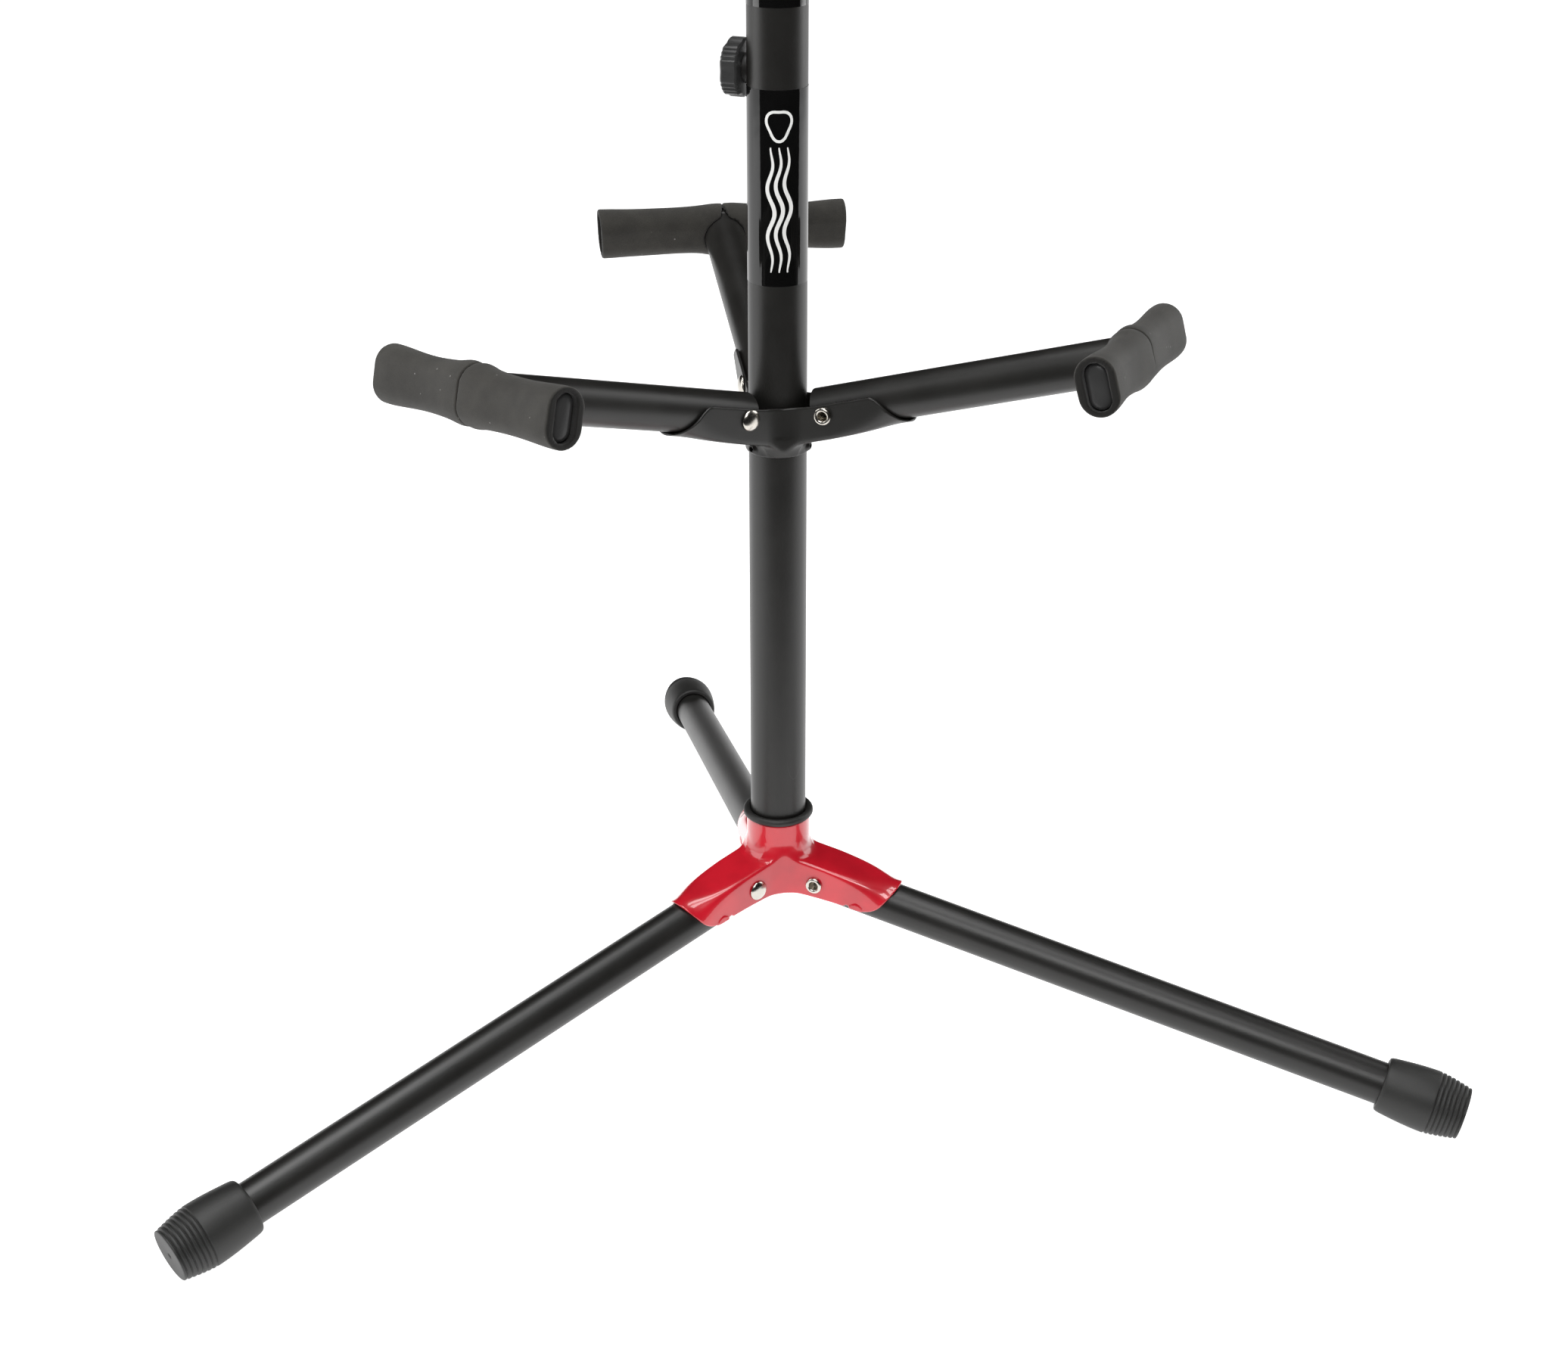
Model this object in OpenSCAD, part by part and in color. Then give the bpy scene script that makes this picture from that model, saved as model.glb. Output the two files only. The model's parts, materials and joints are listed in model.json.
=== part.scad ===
// Folding tubular rack for three guitars.
// Origin: on the floor, on the mast's axis. +Z is up, +Y points along the rear leg.
// Lengths are millimetres. "s" runs outward along a leg or arm from the mast's axis, and
// "h" is square to it, upward.

/* [Mast] */
// Outside diameter of the mast tube
mast_d = 33; // [31:0.5:36]
// Wall of every steel tube
tube_wall = 1.2; // [1:0.1:1.6]
// Height of the mast tube's top end above the floor
mast_top_z = 650; // [630:1:700]
// Length of the printed film wrapped round the mast
label_len = 106; // [60:1:120]

/* [Legs] */
// Outside diameter of the leg tubes
leg_d = 25; // [23:0.5:27]
// Slope of the legs below the horizontal, in degrees
leg_slope = 11.6; // [9:0.1:14]
// Reach of a leg along its own axis, from the mast's axis to the foot's end
leg_reach = 429; // [380:1:480]
// Leg pivot's distance from the mast's axis, along the leg
leg_pivot_s = 28.5; // [27:0.5:31]
// Length of a rubber foot
foot_len = 48.5; // [40:0.5:60]

/* [Arms] */
// Outside diameter of the arm tubes
arm_d = 25; // [23:0.5:27]
// Slope of the arms above the horizontal, in degrees
arm_slope = 15.7; // [12:0.1:20]
// Height of the arms' crossing above the legs' crossing
arm_rise = 287; // [260:1:320]
// Arm pivot's distance from the mast's axis, along the arm
arm_pivot_s = 33; // [32:0.5:36]
// Cross bar's distance from the mast's axis, along the arm
bar_s = 208; // [180:1:240]
// Lean of the left and right cross bars, front ends up, in degrees
bar_lean = 5.5; // [0:0.5:10]
// Length of a cross bar over its end plugs
bar_len = 146; // [120:1:170]
// Height of the cross bar's oval
bar_tall = 25; // [22:0.5:28]
// Thickness of the cross bar's oval
bar_thick = 12.5; // [10:0.5:15]
// Wall of the foam sleeves
foam_wall = 4.5; // [3:0.5:6]
// Length of one foam sleeve
foam_len = 77; // [60:1:90]

/* [Upper tube] */
// Outside diameter of the telescoping tube
inner_d = 28.6; // [27.5:0.1:29]
// Height of the telescoping tube's lower end above the floor
inner_bottom_z = 400; // [380:1:450]
// Length of the telescoping tube
inner_len = 560; // [500:1:600]
// Diameter of the neck yokes' steel rod
rod_d = 8; // [7:0.5:9]
// Outside diameter of the foam on a neck yoke
yoke_foam_d = 16; // [14:0.5:18]
// Clear gap between the foam-covered prongs of a neck yoke
neck_gap = 50; // [48:1:56]

/* [Clamp] */
// Height of the clamp screw above the floor
clamp_z = 582; // [575:1:590]
// Diameter of the clamp knob
knob_d = 32; // [28:1:36]
// Diameter of the clamp screw
screw_d = 8; // [8:1:10]

/* [Hidden] */
$fn = 64;

// Directions, in degrees counted from +X towards +Y
LEFT = -150;
RIGHT = -30;
REAR = 90;
AZIMUTHS = [LEFT, RIGHT, REAR];
FRONT_YOKE = -90;
RIGHT_YOKE = 30;
LEFT_YOKE = 150;
CLAMP_AZIMUTH = 150;

mast_r = mast_d / 2;
mast_bore_r = mast_r - tube_wall;
leg_r = leg_d / 2;
arm_r = arm_d / 2;
inner_r = inner_d / 2;
rod_r = rod_d / 2;
screw_r = screw_d / 2;

slack = 0.3;          // gap between a tube and the channel it lies in
running = 0.05;       // radial clearance of a turning or sliding fit
seat_gap = 0.02;      // radial clearance of a fixed fit
sheet = 1.8;          // pressed steel sheet of both hubs
reach_over = 90;      // length of a cutting tool past any channel
flank_in = 0.15;      // how far a channel's flat sides stand inside its round part
channel_start = 9;    // inner end of a channel's walls, inside the mast's bore
void_start = 5;       // inner end of a channel's hollow
cut = 0.5;            // how far a cutting tool stands past a face

// Rubber foot: radii at its mouth, at its widest ring and at its end
foot_mouth_r = 1.32 * leg_r;
foot_wide_r = 1.48 * leg_r;
foot_end_r = 1.18 * leg_r;
foot_wide_at = 0.6 * foot_len;
foot_floor = 5;
foot_steps = 6;
foot_start = leg_reach - foot_len;

// Outline of the ribbed part of a foot, by rib number: radius and distance from the mouth
rib_front = 0.35;
function foot_step_r(i) = foot_wide_r + (foot_end_r - foot_wide_r) * pow(i / foot_steps, 1.4);
function foot_step_s(i) = foot_wide_at + (foot_len - foot_wide_at) * i / foot_steps;

// Heights of the crossings; the lowest rib of each foot stands on the floor
leg_z = max([for (i = [0:foot_steps - 1])
    (foot_start + foot_step_s(i + 1)) * sin(leg_slope) + foot_step_r(i + rib_front) * cos(leg_slope)]);
arm_z = leg_z + arm_rise;

// Base hub
channel_in_r = leg_r + slack;
channel_out_r = channel_in_r + sheet;
collar_r = 19;
collar_up = 34;
collar_down = 11;
base_roof_end = 78;
base_skirt_end = 66;
base_skirt = 5;
leg_pivot_h = 2;
leg_tube_start = 20;
leg_tip_r = 10.5;
leg_drum_r = channel_out_r - leg_pivot_h + 0.2;
mast_bottom_z = leg_z + 12;

// Cradle hub
cradle_in_r = arm_r + slack;
cradle_out_r = cradle_in_r + sheet;
cradle_wall_h = 6;
cradle_wall_end = 60;
cradle_tip_end = 79;
cradle_tip_h = 12.2;
bowl_r = 20;
bowl_top = bowl_r * sin(arm_slope) + cradle_wall_h * cos(arm_slope);
bowl_floor = 12;
cradle_collar_r = 18;
cradle_collar_down = 18.6;
stake_r = 2.2;
stake_up = 3.2;
arm_tube_start = 25.5;
arm_tip_r = arm_r;
// an arm tube's saddle stops this far short of the bar's centre, so that its lips keep some thickness
saddle_back = 3;
arm_drum_r = cradle_out_r + 0.2;

// Rivets
rivet_r = 3.2;
rivet_head_r = 5.7;
rivet_head_h = 2.8;
rivet_tail_r = 4.6;
rivet_tail_h = 1.5;
rivet_hollow_r = 2.3;
rivet_hollow = 8;
rivet_wall = channel_out_r + 0.15;

// Mast fittings
ring_r = 2.4;
ring_z = leg_z + collar_up + ring_r;
film = 0.15;
label_top_z = leg_z + 473;
band_bottom_z = leg_z + 515.5;
band_len = 24;
bushing_flange_r = mast_r + 1.6;
bushing_flange_h = 7;
bushing_depth = 30;
plug_len = 25;
plug_shoulder = 6;

// Clamp
nut_r = 8;
nut_face = mast_r + 1;
knob_face = 18;
knob_thick = 9.5;
knob_r = knob_d / 2;
knob_lobes = 5;
knob_hollow_r = 18;
knob_hollow = 1.6;
grip_out = 0.3;
grips_per_lobe = 4;
grip_step = 10;
grip_r = 1.1;

// Foam and cross bar
bar_plug_len = 9;
foam_gap = 0.15;
seam = 0.5;

// Neck yokes
head_r = 21;
head_h = 36;
head_socket = 26;
head_crown = 5;
head_z = inner_bottom_z + inner_len - head_socket;
yoke_z = head_z + 20;
head_screw_up = 10;
head_screw_r = 2.5;
screw_head_r = 4.6;
screw_head_top_r = 3.4;
screw_head_h = 2.8;
slot_long = 4.4;
slot_wide = 0.9;
slot_floor = 1.2;
yoke_tilt = 12;
yoke_arc_r = (neck_gap + yoke_foam_d) / 2;
yoke_stem_in = 15.5;
yoke_base = 46;
yoke_prong = 34;
yoke_hook_r = 12;
yoke_hook_up = 8;
yoke_centre = yoke_base + yoke_arc_r;
foam_over = 3;        // how far the foam reaches past the rod's ends

// Puts its children on a leg's axis: local +X outward along the leg, +Z square to it, upward
module on_leg(azimuth) {
    translate([0, 0, leg_z]) rotate([0, leg_slope, azimuth]) children();
}

// Puts its children on an arm's axis, in the same way
module on_arm(azimuth) {
    translate([0, 0, arm_z]) rotate([0, -arm_slope, azimuth]) children();
}

// How far a cross bar leans about its arm, in degrees
function lean(azimuth) = azimuth == LEFT ? bar_lean : azimuth == RIGHT ? -bar_lean : 0;

// Puts its children on an arm's axis, turned about it with the cross bar
module on_bar(azimuth) {
    on_arm(azimuth) rotate([lean(azimuth), 0, 0]) children();
}

// A round bar along local +X from s = from to s = to
module bar_x(r, from, to) {
    translate([from, 0, 0]) rotate([0, 90, 0]) cylinder(r = r, h = to - from);
}

// A round bar along local Y, centred on the axis, through the point (s, h)
module bar_y(r, s, h, length) {
    translate([s, 0, h]) rotate([90, 0, 0]) cylinder(r = r, h = length, center = true);
}

// A round tube along local +X
module tube_x(r, from, to) {
    difference() {
        bar_x(r, from, to);
        bar_x(r - tube_wall, from - cut, to + cut);
    }
}

// A side outline in the (s, h) plane, pushed through the channel's whole width
module side_cut(points, width) {
    rotate([90, 0, 0]) linear_extrude(height = width, center = true) polygon(points);
}

// A bar along local +X whose section is a circle joined to straight sides that reach h = open_h:
// a channel's section, open downward where open_h is negative and upward where it is positive.
// The sides stand a little inside the circle's widest points.
module arch_x(r, open_h, from, to) {
    translate([from, 0, 0]) rotate([90, 0, 90]) linear_extrude(height = to - from) union() {
        circle(r = r);
        translate([flank_in - r, min(0, open_h)]) square([2 * (r - flank_in), abs(open_h)]);
    }
}

// An upright oval in the XY plane: tall along X, thick along Y, with full round ends
module oval(tall, thick) {
    flat = tall - thick;
    union() {
        square([flat, thick], center = true);
        for (side = [-1, 1]) translate([side * flat / 2, 0]) circle(d = thick);
    }
}

// An oval bar along the cross bar's line, from t = from to t = to
module bar_t(tall, thick, from, to) {
    translate([bar_s, 0, 0]) rotate([-90, 90, 0])
        translate([0, 0, from]) linear_extrude(height = to - from) oval(tall, thick);
}

// ---- Base hub and legs ----

module base_channel() {
    intersection() {
        union() {
            arch_x(channel_out_r, -2 * base_skirt, channel_start, base_roof_end + cut);
            bar_y(leg_drum_r, leg_pivot_s, leg_pivot_h, 2 * rivet_wall);
        }
        side_cut([
            [0, channel_out_r + cut], [base_roof_end, channel_out_r + cut],
            [base_skirt_end, -base_skirt], [0, -base_skirt]
        ], 4 * channel_out_r);
    }
}

module base_hub() {
    color([0.70, 0.07, 0.10]) difference() {
        union() {
            translate([0, 0, leg_z - collar_down]) cylinder(r = collar_r, h = collar_down + collar_up);
            for (azimuth = AZIMUTHS) on_leg(azimuth) base_channel();
        }
        cylinder(r = mast_r + seat_gap, h = leg_z + collar_up + cut);
        for (azimuth = AZIMUTHS) on_leg(azimuth) {
            arch_x(channel_in_r, -reach_over, void_start, reach_over);
            bar_y(leg_drum_r - sheet, leg_pivot_s, leg_pivot_h, 2 * channel_in_r);
            bar_y(rivet_r + seat_gap, leg_pivot_s, leg_pivot_h, 4 * channel_out_r);
        }
    }
}

module leg_tube(azimuth) {
    color([0.05, 0.05, 0.05]) on_leg(azimuth) difference() {
        tube_x(leg_r, leg_tube_start, leg_reach - foot_floor);
        bar_y(rivet_r + running, leg_pivot_s, leg_pivot_h, 2 * leg_d);
        // the inner end is rounded about the pivot, so that it turns clear of the roof
        difference() {
            translate([0, -leg_d, -leg_d]) cube([leg_pivot_s, 2 * leg_d, 2 * leg_d]);
            bar_y(leg_tip_r, leg_pivot_s, leg_pivot_h, 3 * leg_d);
        }
    }
}

// Outline of the foot as [radius, s] points: smooth from the mouth to the widest ring, then ribbed
function foot_side(u) = foot_mouth_r + (foot_wide_r - foot_mouth_r) * sin(90 * u);

module foot(azimuth) {
    smooth = [for (i = [0:8]) [foot_side(i / 8), foot_wide_at * i / 8]];
    steps = [for (i = [0:foot_steps - 1], end = [0, 1])
        [foot_step_r(i + end * rib_front), foot_step_s(i + end)]];
    color([0.06, 0.06, 0.06]) on_leg(azimuth) translate([foot_start, 0, 0]) rotate([0, 90, 0])
        difference() {
            rotate_extrude() polygon(concat([[0, 0]], smooth, steps,
                [[foot_end_r, foot_len], [0, foot_len]]));
            translate([0, 0, -cut]) cylinder(r = leg_r, h = foot_len - foot_floor + cut);
        }
}

// A semi-tubular rivet along local +Z: its shank spans the channel, head up, rolled tail down
module rivet(wall_r) {
    difference() {
        union() {
            cylinder(r = rivet_r, h = 2 * wall_r + 0.01, center = true);
            translate([0, 0, wall_r]) intersection() {
                cylinder(r = rivet_head_r, h = rivet_head_h);
                dome_r = (rivet_head_r * rivet_head_r + rivet_head_h * rivet_head_h) / (2 * rivet_head_h);
                translate([0, 0, rivet_head_h - dome_r]) sphere(r = dome_r);
            }
            translate([0, 0, -wall_r - rivet_tail_h]) cylinder(r = rivet_tail_r, h = rivet_tail_h);
        }
        translate([0, 0, -wall_r - rivet_tail_h - cut]) cylinder(r = rivet_hollow_r, h = rivet_hollow);
    }
}

module leg_rivets() {
    color([0.75, 0.73, 0.70]) for (azimuth = AZIMUTHS) on_leg(azimuth)
        translate([leg_pivot_s, 0, leg_pivot_h]) rotate([-90, 0, 0]) rivet(rivet_wall);
}

// ---- Mast ----

module mast_tube() {
    color([0.05, 0.05, 0.05]) difference() {
        translate([0, 0, mast_bottom_z]) cylinder(r = mast_r, h = mast_top_z - mast_bottom_z);
        cylinder(r = mast_bore_r, h = mast_top_z + cut);
        on_clamp() cylinder(r = screw_r + 4 * running, h = nut_face);
    }
}

module mast_ring() {
    color([0.03, 0.03, 0.03]) difference() {
        translate([0, 0, ring_z]) rotate_extrude() translate([mast_r + ring_r - 0.1, 0]) circle(r = ring_r);
        cylinder(r = mast_r, h = ring_z + collar_up);
    }
}

module film_wrap(bottom_z, length) {
    color([0.03, 0.03, 0.03]) translate([0, 0, bottom_z]) difference() {
        cylinder(r = mast_r + film, h = length);
        translate([0, 0, -cut]) cylinder(r = mast_r, h = length + 2 * cut);
    }
}

module mast_label() {
    film_wrap(label_top_z - label_len, label_len);
}

module upper_film_band() {
    film_wrap(band_bottom_z, band_len);
}

module mast_bushing() {
    color([0.04, 0.04, 0.04]) difference() {
        union() {
            translate([0, 0, mast_top_z]) cylinder(r = bushing_flange_r, h = bushing_flange_h);
            translate([0, 0, mast_top_z - bushing_depth]) cylinder(r = mast_bore_r - seat_gap, h = bushing_depth);
        }
        cylinder(r = inner_r + running, h = mast_top_z + bushing_flange_h + cut);
    }
}

// ---- Cradle hub and arms ----

// Side outline of a cradle channel: level wall top, then an S-curve down to the lip
function s_curve(u) = (1 + cos(180 * u)) / 2;

module cradle_channel() {
    fall = cradle_wall_h + cradle_tip_h;
    curve = [for (i = [0:12]) [
        cradle_wall_end + (cradle_tip_end - cradle_wall_end) * i / 12,
        cradle_wall_h - fall * (1 - s_curve(i / 12))
    ]];
    intersection() {
        union() {
            arch_x(cradle_out_r, 2 * cradle_wall_h, channel_start, cradle_tip_end + cut);
            bar_y(arm_drum_r, arm_pivot_s, 0, 2 * rivet_wall);
        }
        side_cut(concat([[0, -cradle_out_r - cut], [0, cradle_wall_h]], curve,
            [[cradle_tip_end, -cradle_out_r - cut]]), 4 * cradle_out_r);
    }
}

module cradle_hub() {
    color([0.05, 0.05, 0.05]) difference() {
        union() {
            translate([0, 0, arm_z - bowl_floor]) cylinder(r = bowl_r, h = bowl_floor + bowl_top);
            translate([0, 0, arm_z - cradle_collar_down]) cylinder(r = cradle_collar_r, h = cradle_collar_down);
            for (azimuth = AZIMUTHS) on_arm(azimuth) cradle_channel();
            for (azimuth = AZIMUTHS) rotate([0, 0, azimuth])
                translate([cradle_collar_r - stake_r / 2, 0, arm_z - cradle_collar_down + stake_up])
                    sphere(r = stake_r);
        }
        translate([0, 0, arm_z - bowl_floor + sheet]) cylinder(r = bowl_r - sheet, h = 2 * bowl_floor);
        translate([0, 0, arm_z - 2 * cradle_collar_down]) cylinder(r = mast_r + seat_gap, h = 4 * cradle_collar_down);
        for (azimuth = AZIMUTHS) on_arm(azimuth) {
            arch_x(cradle_in_r, reach_over, void_start, reach_over);
            bar_y(arm_drum_r - sheet, arm_pivot_s, 0, 2 * cradle_in_r);
            bar_y(rivet_r + seat_gap, arm_pivot_s, 0, 4 * cradle_out_r);
        }
    }
}

module arm_rivets() {
    color([0.75, 0.73, 0.70]) for (azimuth = AZIMUTHS) on_arm(azimuth)
        translate([arm_pivot_s, 0, 0]) rotate([-90, 0, 0]) rivet(rivet_wall);
}

module arm_tube(azimuth) {
    color([0.05, 0.05, 0.05]) on_arm(azimuth) difference() {
        tube_x(arm_r, arm_tube_start, bar_s - saddle_back);
        rotate([lean(azimuth), 0, 0]) bar_t(bar_tall, bar_thick, -bar_len, bar_len);
        bar_y(rivet_r + running, arm_pivot_s, 0, 2 * arm_d);
        // the inner end's lower corner is rounded about the pivot, so that it clears the floor
        difference() {
            translate([0, -arm_d, -arm_d]) cube([arm_pivot_s, 2 * arm_d, arm_d]);
            bar_y(arm_tip_r, arm_pivot_s, 0, 3 * arm_d);
        }
    }
}

module cross_bar(azimuth) {
    color([0.05, 0.05, 0.05]) on_bar(azimuth) difference() {
        bar_t(bar_tall, bar_thick, -bar_len / 2, bar_len / 2);
        bar_t(bar_tall - 2 * tube_wall, bar_thick - 2 * tube_wall, -bar_len, bar_len);
    }
}

module bar_plugs(azimuth) {
    tall = bar_tall - 2 * (tube_wall + seat_gap);
    thick = bar_thick - 2 * (tube_wall + seat_gap);
    color([0.08, 0.08, 0.08]) on_bar(azimuth) for (side = [-1, 1])
        bar_t(tall, thick, side * (bar_len - bar_plug_len) / 2 - bar_plug_len / 2,
            side * (bar_len - bar_plug_len) / 2 + bar_plug_len / 2);
}

// A foam sleeve over half a cross bar; side +1 lies counter-clockwise of the arm, seen from above
module sleeve(azimuth, side) {
    near = seam / 2;
    far = near + foam_len;
    color([0.10, 0.10, 0.09]) on_bar(azimuth) difference() {
        bar_t(bar_tall + 2 * foam_wall, bar_thick + 2 * foam_wall,
            side > 0 ? near : -far, side > 0 ? far : -near);
        bar_t(bar_tall + 2 * foam_gap, bar_thick + 2 * foam_gap, -bar_len, bar_len);
        bar_x(arm_r + foam_gap, 0, bar_s);
    }
}

// ---- Upper tube and neck yokes ----

module inner_tube() {
    color([0.05, 0.05, 0.05]) translate([0, 0, inner_bottom_z]) difference() {
        cylinder(r = inner_r, h = inner_len);
        translate([0, 0, -cut]) cylinder(r = inner_r - tube_wall, h = inner_len + 2 * cut);
    }
}

module inner_tube_plug() {
    color([0.08, 0.08, 0.08]) translate([0, 0, inner_bottom_z]) union() {
        cylinder(r = inner_r - tube_wall - seat_gap, h = plug_len - plug_shoulder);
        translate([0, 0, -plug_shoulder]) cylinder(r = mast_bore_r - running, h = plug_shoulder);
    }
}

module yoke_head() {
    color([0.05, 0.05, 0.05]) difference() {
        union() {
            translate([0, 0, head_z]) cylinder(r = head_r, h = head_h - head_crown);
            translate([0, 0, head_z + head_h - head_crown])
                cylinder(r1 = head_r, r2 = head_r - head_crown, h = head_crown);
        }
        translate([0, 0, head_z - cut]) cylinder(r = inner_r + seat_gap, h = head_socket + cut + seat_gap);
        for (azimuth = [FRONT_YOKE, RIGHT_YOKE, LEFT_YOKE]) on_yoke(azimuth)
            bar_x(rod_r + seat_gap, yoke_stem_in, yoke_base);
        on_head_screw() cylinder(r = head_screw_r + seat_gap, h = head_r + cut);
    }
}

// Puts its children on the head screw's axis: local +Z points outward
module on_head_screw() {
    translate([0, 0, head_z + head_screw_up]) rotate([0, 90, REAR]) children();
}

module yoke_head_screw() {
    screw_start = inner_r + running;
    head_start = head_r + seat_gap;
    color([0.7, 0.7, 0.7]) on_head_screw() difference() {
        union() {
            translate([0, 0, screw_start]) cylinder(r = head_screw_r, h = head_start - screw_start + cut);
            translate([0, 0, head_start]) cylinder(r1 = screw_head_r, r2 = screw_head_top_r, h = screw_head_h);
        }
        for (turn = [0, 90]) rotate([0, 0, turn])
            translate([-slot_long / 2, -slot_wide / 2, head_start + slot_floor])
                cube([slot_long, slot_wide, screw_head_h]);
    }
}

// Puts its children on a yoke's stem: local +X outward and a little upward
module on_yoke(azimuth) {
    translate([0, 0, yoke_z]) rotate([0, -yoke_tilt, azimuth]) children();
}

// The bent rod of a yoke at radius r: a U open outward, with its ends turned up.
// short keeps the foam's ends back from the rod's own ends.
module yoke_u(r, short) {
    translate([yoke_centre, 0, 0]) {
        rotate([0, 0, 90]) rotate_extrude(angle = 180) translate([yoke_arc_r, 0]) circle(r = r);
        for (side = [-1, 1]) translate([0, side * yoke_arc_r, 0]) {
            bar_x(r, 0, yoke_prong);
            translate([yoke_prong, 0, yoke_hook_r]) rotate([90, 90, 0])
                rotate_extrude(angle = 90) translate([yoke_hook_r, 0]) circle(r = r);
            translate([yoke_prong + yoke_hook_r, 0, yoke_hook_r]) cylinder(r = r, h = yoke_hook_up - short);
        }
    }
}

module yoke(azimuth) {
    color([0.05, 0.05, 0.05]) on_yoke(azimuth) union() {
        bar_x(rod_r, yoke_stem_in + seat_gap, yoke_base);
        yoke_u(rod_r, 0);
    }
}

module yoke_foam(azimuth) {
    color([0.10, 0.10, 0.09]) on_yoke(azimuth) difference() {
        yoke_u(yoke_foam_d / 2, -foam_over);
        yoke_u(rod_r + foam_gap, -foam_gap);
        bar_x(rod_r + foam_gap, 0, yoke_base);
    }
}

// ---- Clamp ----

// Puts its children on the clamp screw's axis: local +Z points outward from the mast
module on_clamp() {
    translate([0, 0, clamp_z]) rotate([0, 90, CLAMP_AZIMUTH]) children();
}

module clamp_nut() {
    color([0.05, 0.05, 0.05]) difference() {
        on_clamp() cylinder(r = nut_r, h = nut_face);
        cylinder(r = mast_r + seat_gap, h = mast_top_z);
        on_clamp() cylinder(r = screw_r + running, h = nut_face + cut);
    }
}

module clamp_screw() {
    color([0.7, 0.7, 0.7]) on_clamp() translate([0, 0, inner_r + 2 * running])
        cylinder(r = screw_r, h = knob_face + knob_thick / 2 - inner_r);
}

// Lobed grip: shallow hollows between the lobes and a row of small grooves on each lobe
module knob_outline() {
    pitch = 360 / knob_lobes;
    difference() {
        circle(r = knob_r);
        for (i = [0:knob_lobes - 1]) rotate(pitch * i) {
            translate([knob_r + knob_hollow_r - knob_hollow, 0]) circle(r = knob_hollow_r);
            for (j = [0:grips_per_lobe - 1])
                rotate(pitch / 2 + grip_step * (j - (grips_per_lobe - 1) / 2))
                    translate([knob_r + grip_out, 0]) circle(r = grip_r);
        }
    }
}

module clamp_knob() {
    color([0.04, 0.04, 0.04]) on_clamp() difference() {
        translate([0, 0, knob_face]) linear_extrude(height = knob_thick) knob_outline();
        cylinder(r = screw_r + seat_gap, h = knob_face + knob_thick / 2 + 4 * running);
    }
}

base_hub();
leg_rivets();
mast_tube();
mast_ring();
mast_label();
upper_film_band();
mast_bushing();
clamp_nut();
cradle_hub();
arm_rivets();
leg_tube(LEFT);  // left_leg_tube
foot(LEFT);  // left_foot
leg_tube(RIGHT);  // right_leg_tube
foot(RIGHT);  // right_foot
leg_tube(REAR);  // rear_leg_tube
foot(REAR);  // rear_foot
arm_tube(LEFT);  // left_arm_tube
cross_bar(LEFT);  // left_cross_bar
bar_plugs(LEFT);  // left_bar_plugs
sleeve(LEFT, -1);  // left_outer_sleeve
sleeve(LEFT, 1);  // left_inner_sleeve
arm_tube(RIGHT);  // right_arm_tube
cross_bar(RIGHT);  // right_cross_bar
bar_plugs(RIGHT);  // right_bar_plugs
sleeve(RIGHT, -1);  // right_outer_sleeve
sleeve(RIGHT, 1);  // right_inner_sleeve
arm_tube(REAR);  // rear_arm_tube
cross_bar(REAR);  // rear_cross_bar
bar_plugs(REAR);  // rear_bar_plugs
sleeve(REAR, -1);  // rear_outer_sleeve
sleeve(REAR, 1);  // rear_inner_sleeve
inner_tube();
inner_tube_plug();
yoke_head();
yoke_head_screw();
yoke(FRONT_YOKE);  // front_yoke
yoke(RIGHT_YOKE);  // right_yoke
yoke(LEFT_YOKE);  // left_yoke
yoke_foam(FRONT_YOKE);  // front_yoke_foam
yoke_foam(RIGHT_YOKE);  // right_yoke_foam
yoke_foam(LEFT_YOKE);  // left_yoke_foam
clamp_knob();
clamp_screw();
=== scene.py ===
"""Looks of the folding rack for three guitars, built round its CAD frame.

Lengths in this script are millimetres in the row frame: origin on the floor under the mast,
+Z up, +Y along the rear leg. They become metres where a mesh is made. Along a leg or arm,
s runs outward from the mast's axis, t counter-clockwise and h square to both, upward.
"""

import json
import logging
import math
from dataclasses import dataclass
from enum import Enum
from typing import Callable, Sequence

import bpy
import numpy as np
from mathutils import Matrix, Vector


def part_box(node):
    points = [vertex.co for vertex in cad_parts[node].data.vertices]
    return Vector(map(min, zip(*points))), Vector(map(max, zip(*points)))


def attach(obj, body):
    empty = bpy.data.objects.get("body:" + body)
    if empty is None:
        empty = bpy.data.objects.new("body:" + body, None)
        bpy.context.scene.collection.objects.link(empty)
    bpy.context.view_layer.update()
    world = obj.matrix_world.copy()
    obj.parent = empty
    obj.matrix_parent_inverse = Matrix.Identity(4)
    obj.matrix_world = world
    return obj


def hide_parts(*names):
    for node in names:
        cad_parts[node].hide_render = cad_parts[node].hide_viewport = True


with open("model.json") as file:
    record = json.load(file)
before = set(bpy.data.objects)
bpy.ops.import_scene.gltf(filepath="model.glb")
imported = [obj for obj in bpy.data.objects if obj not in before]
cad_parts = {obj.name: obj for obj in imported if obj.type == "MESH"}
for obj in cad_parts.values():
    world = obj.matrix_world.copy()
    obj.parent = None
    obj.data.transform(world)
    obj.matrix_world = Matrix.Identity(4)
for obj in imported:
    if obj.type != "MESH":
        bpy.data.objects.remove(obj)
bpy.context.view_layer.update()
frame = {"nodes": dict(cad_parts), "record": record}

log = logging.getLogger("rack")
MM = 0.001
THIRD = 2 * math.pi / 3
Field = Callable[[np.ndarray], np.ndarray]


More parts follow.
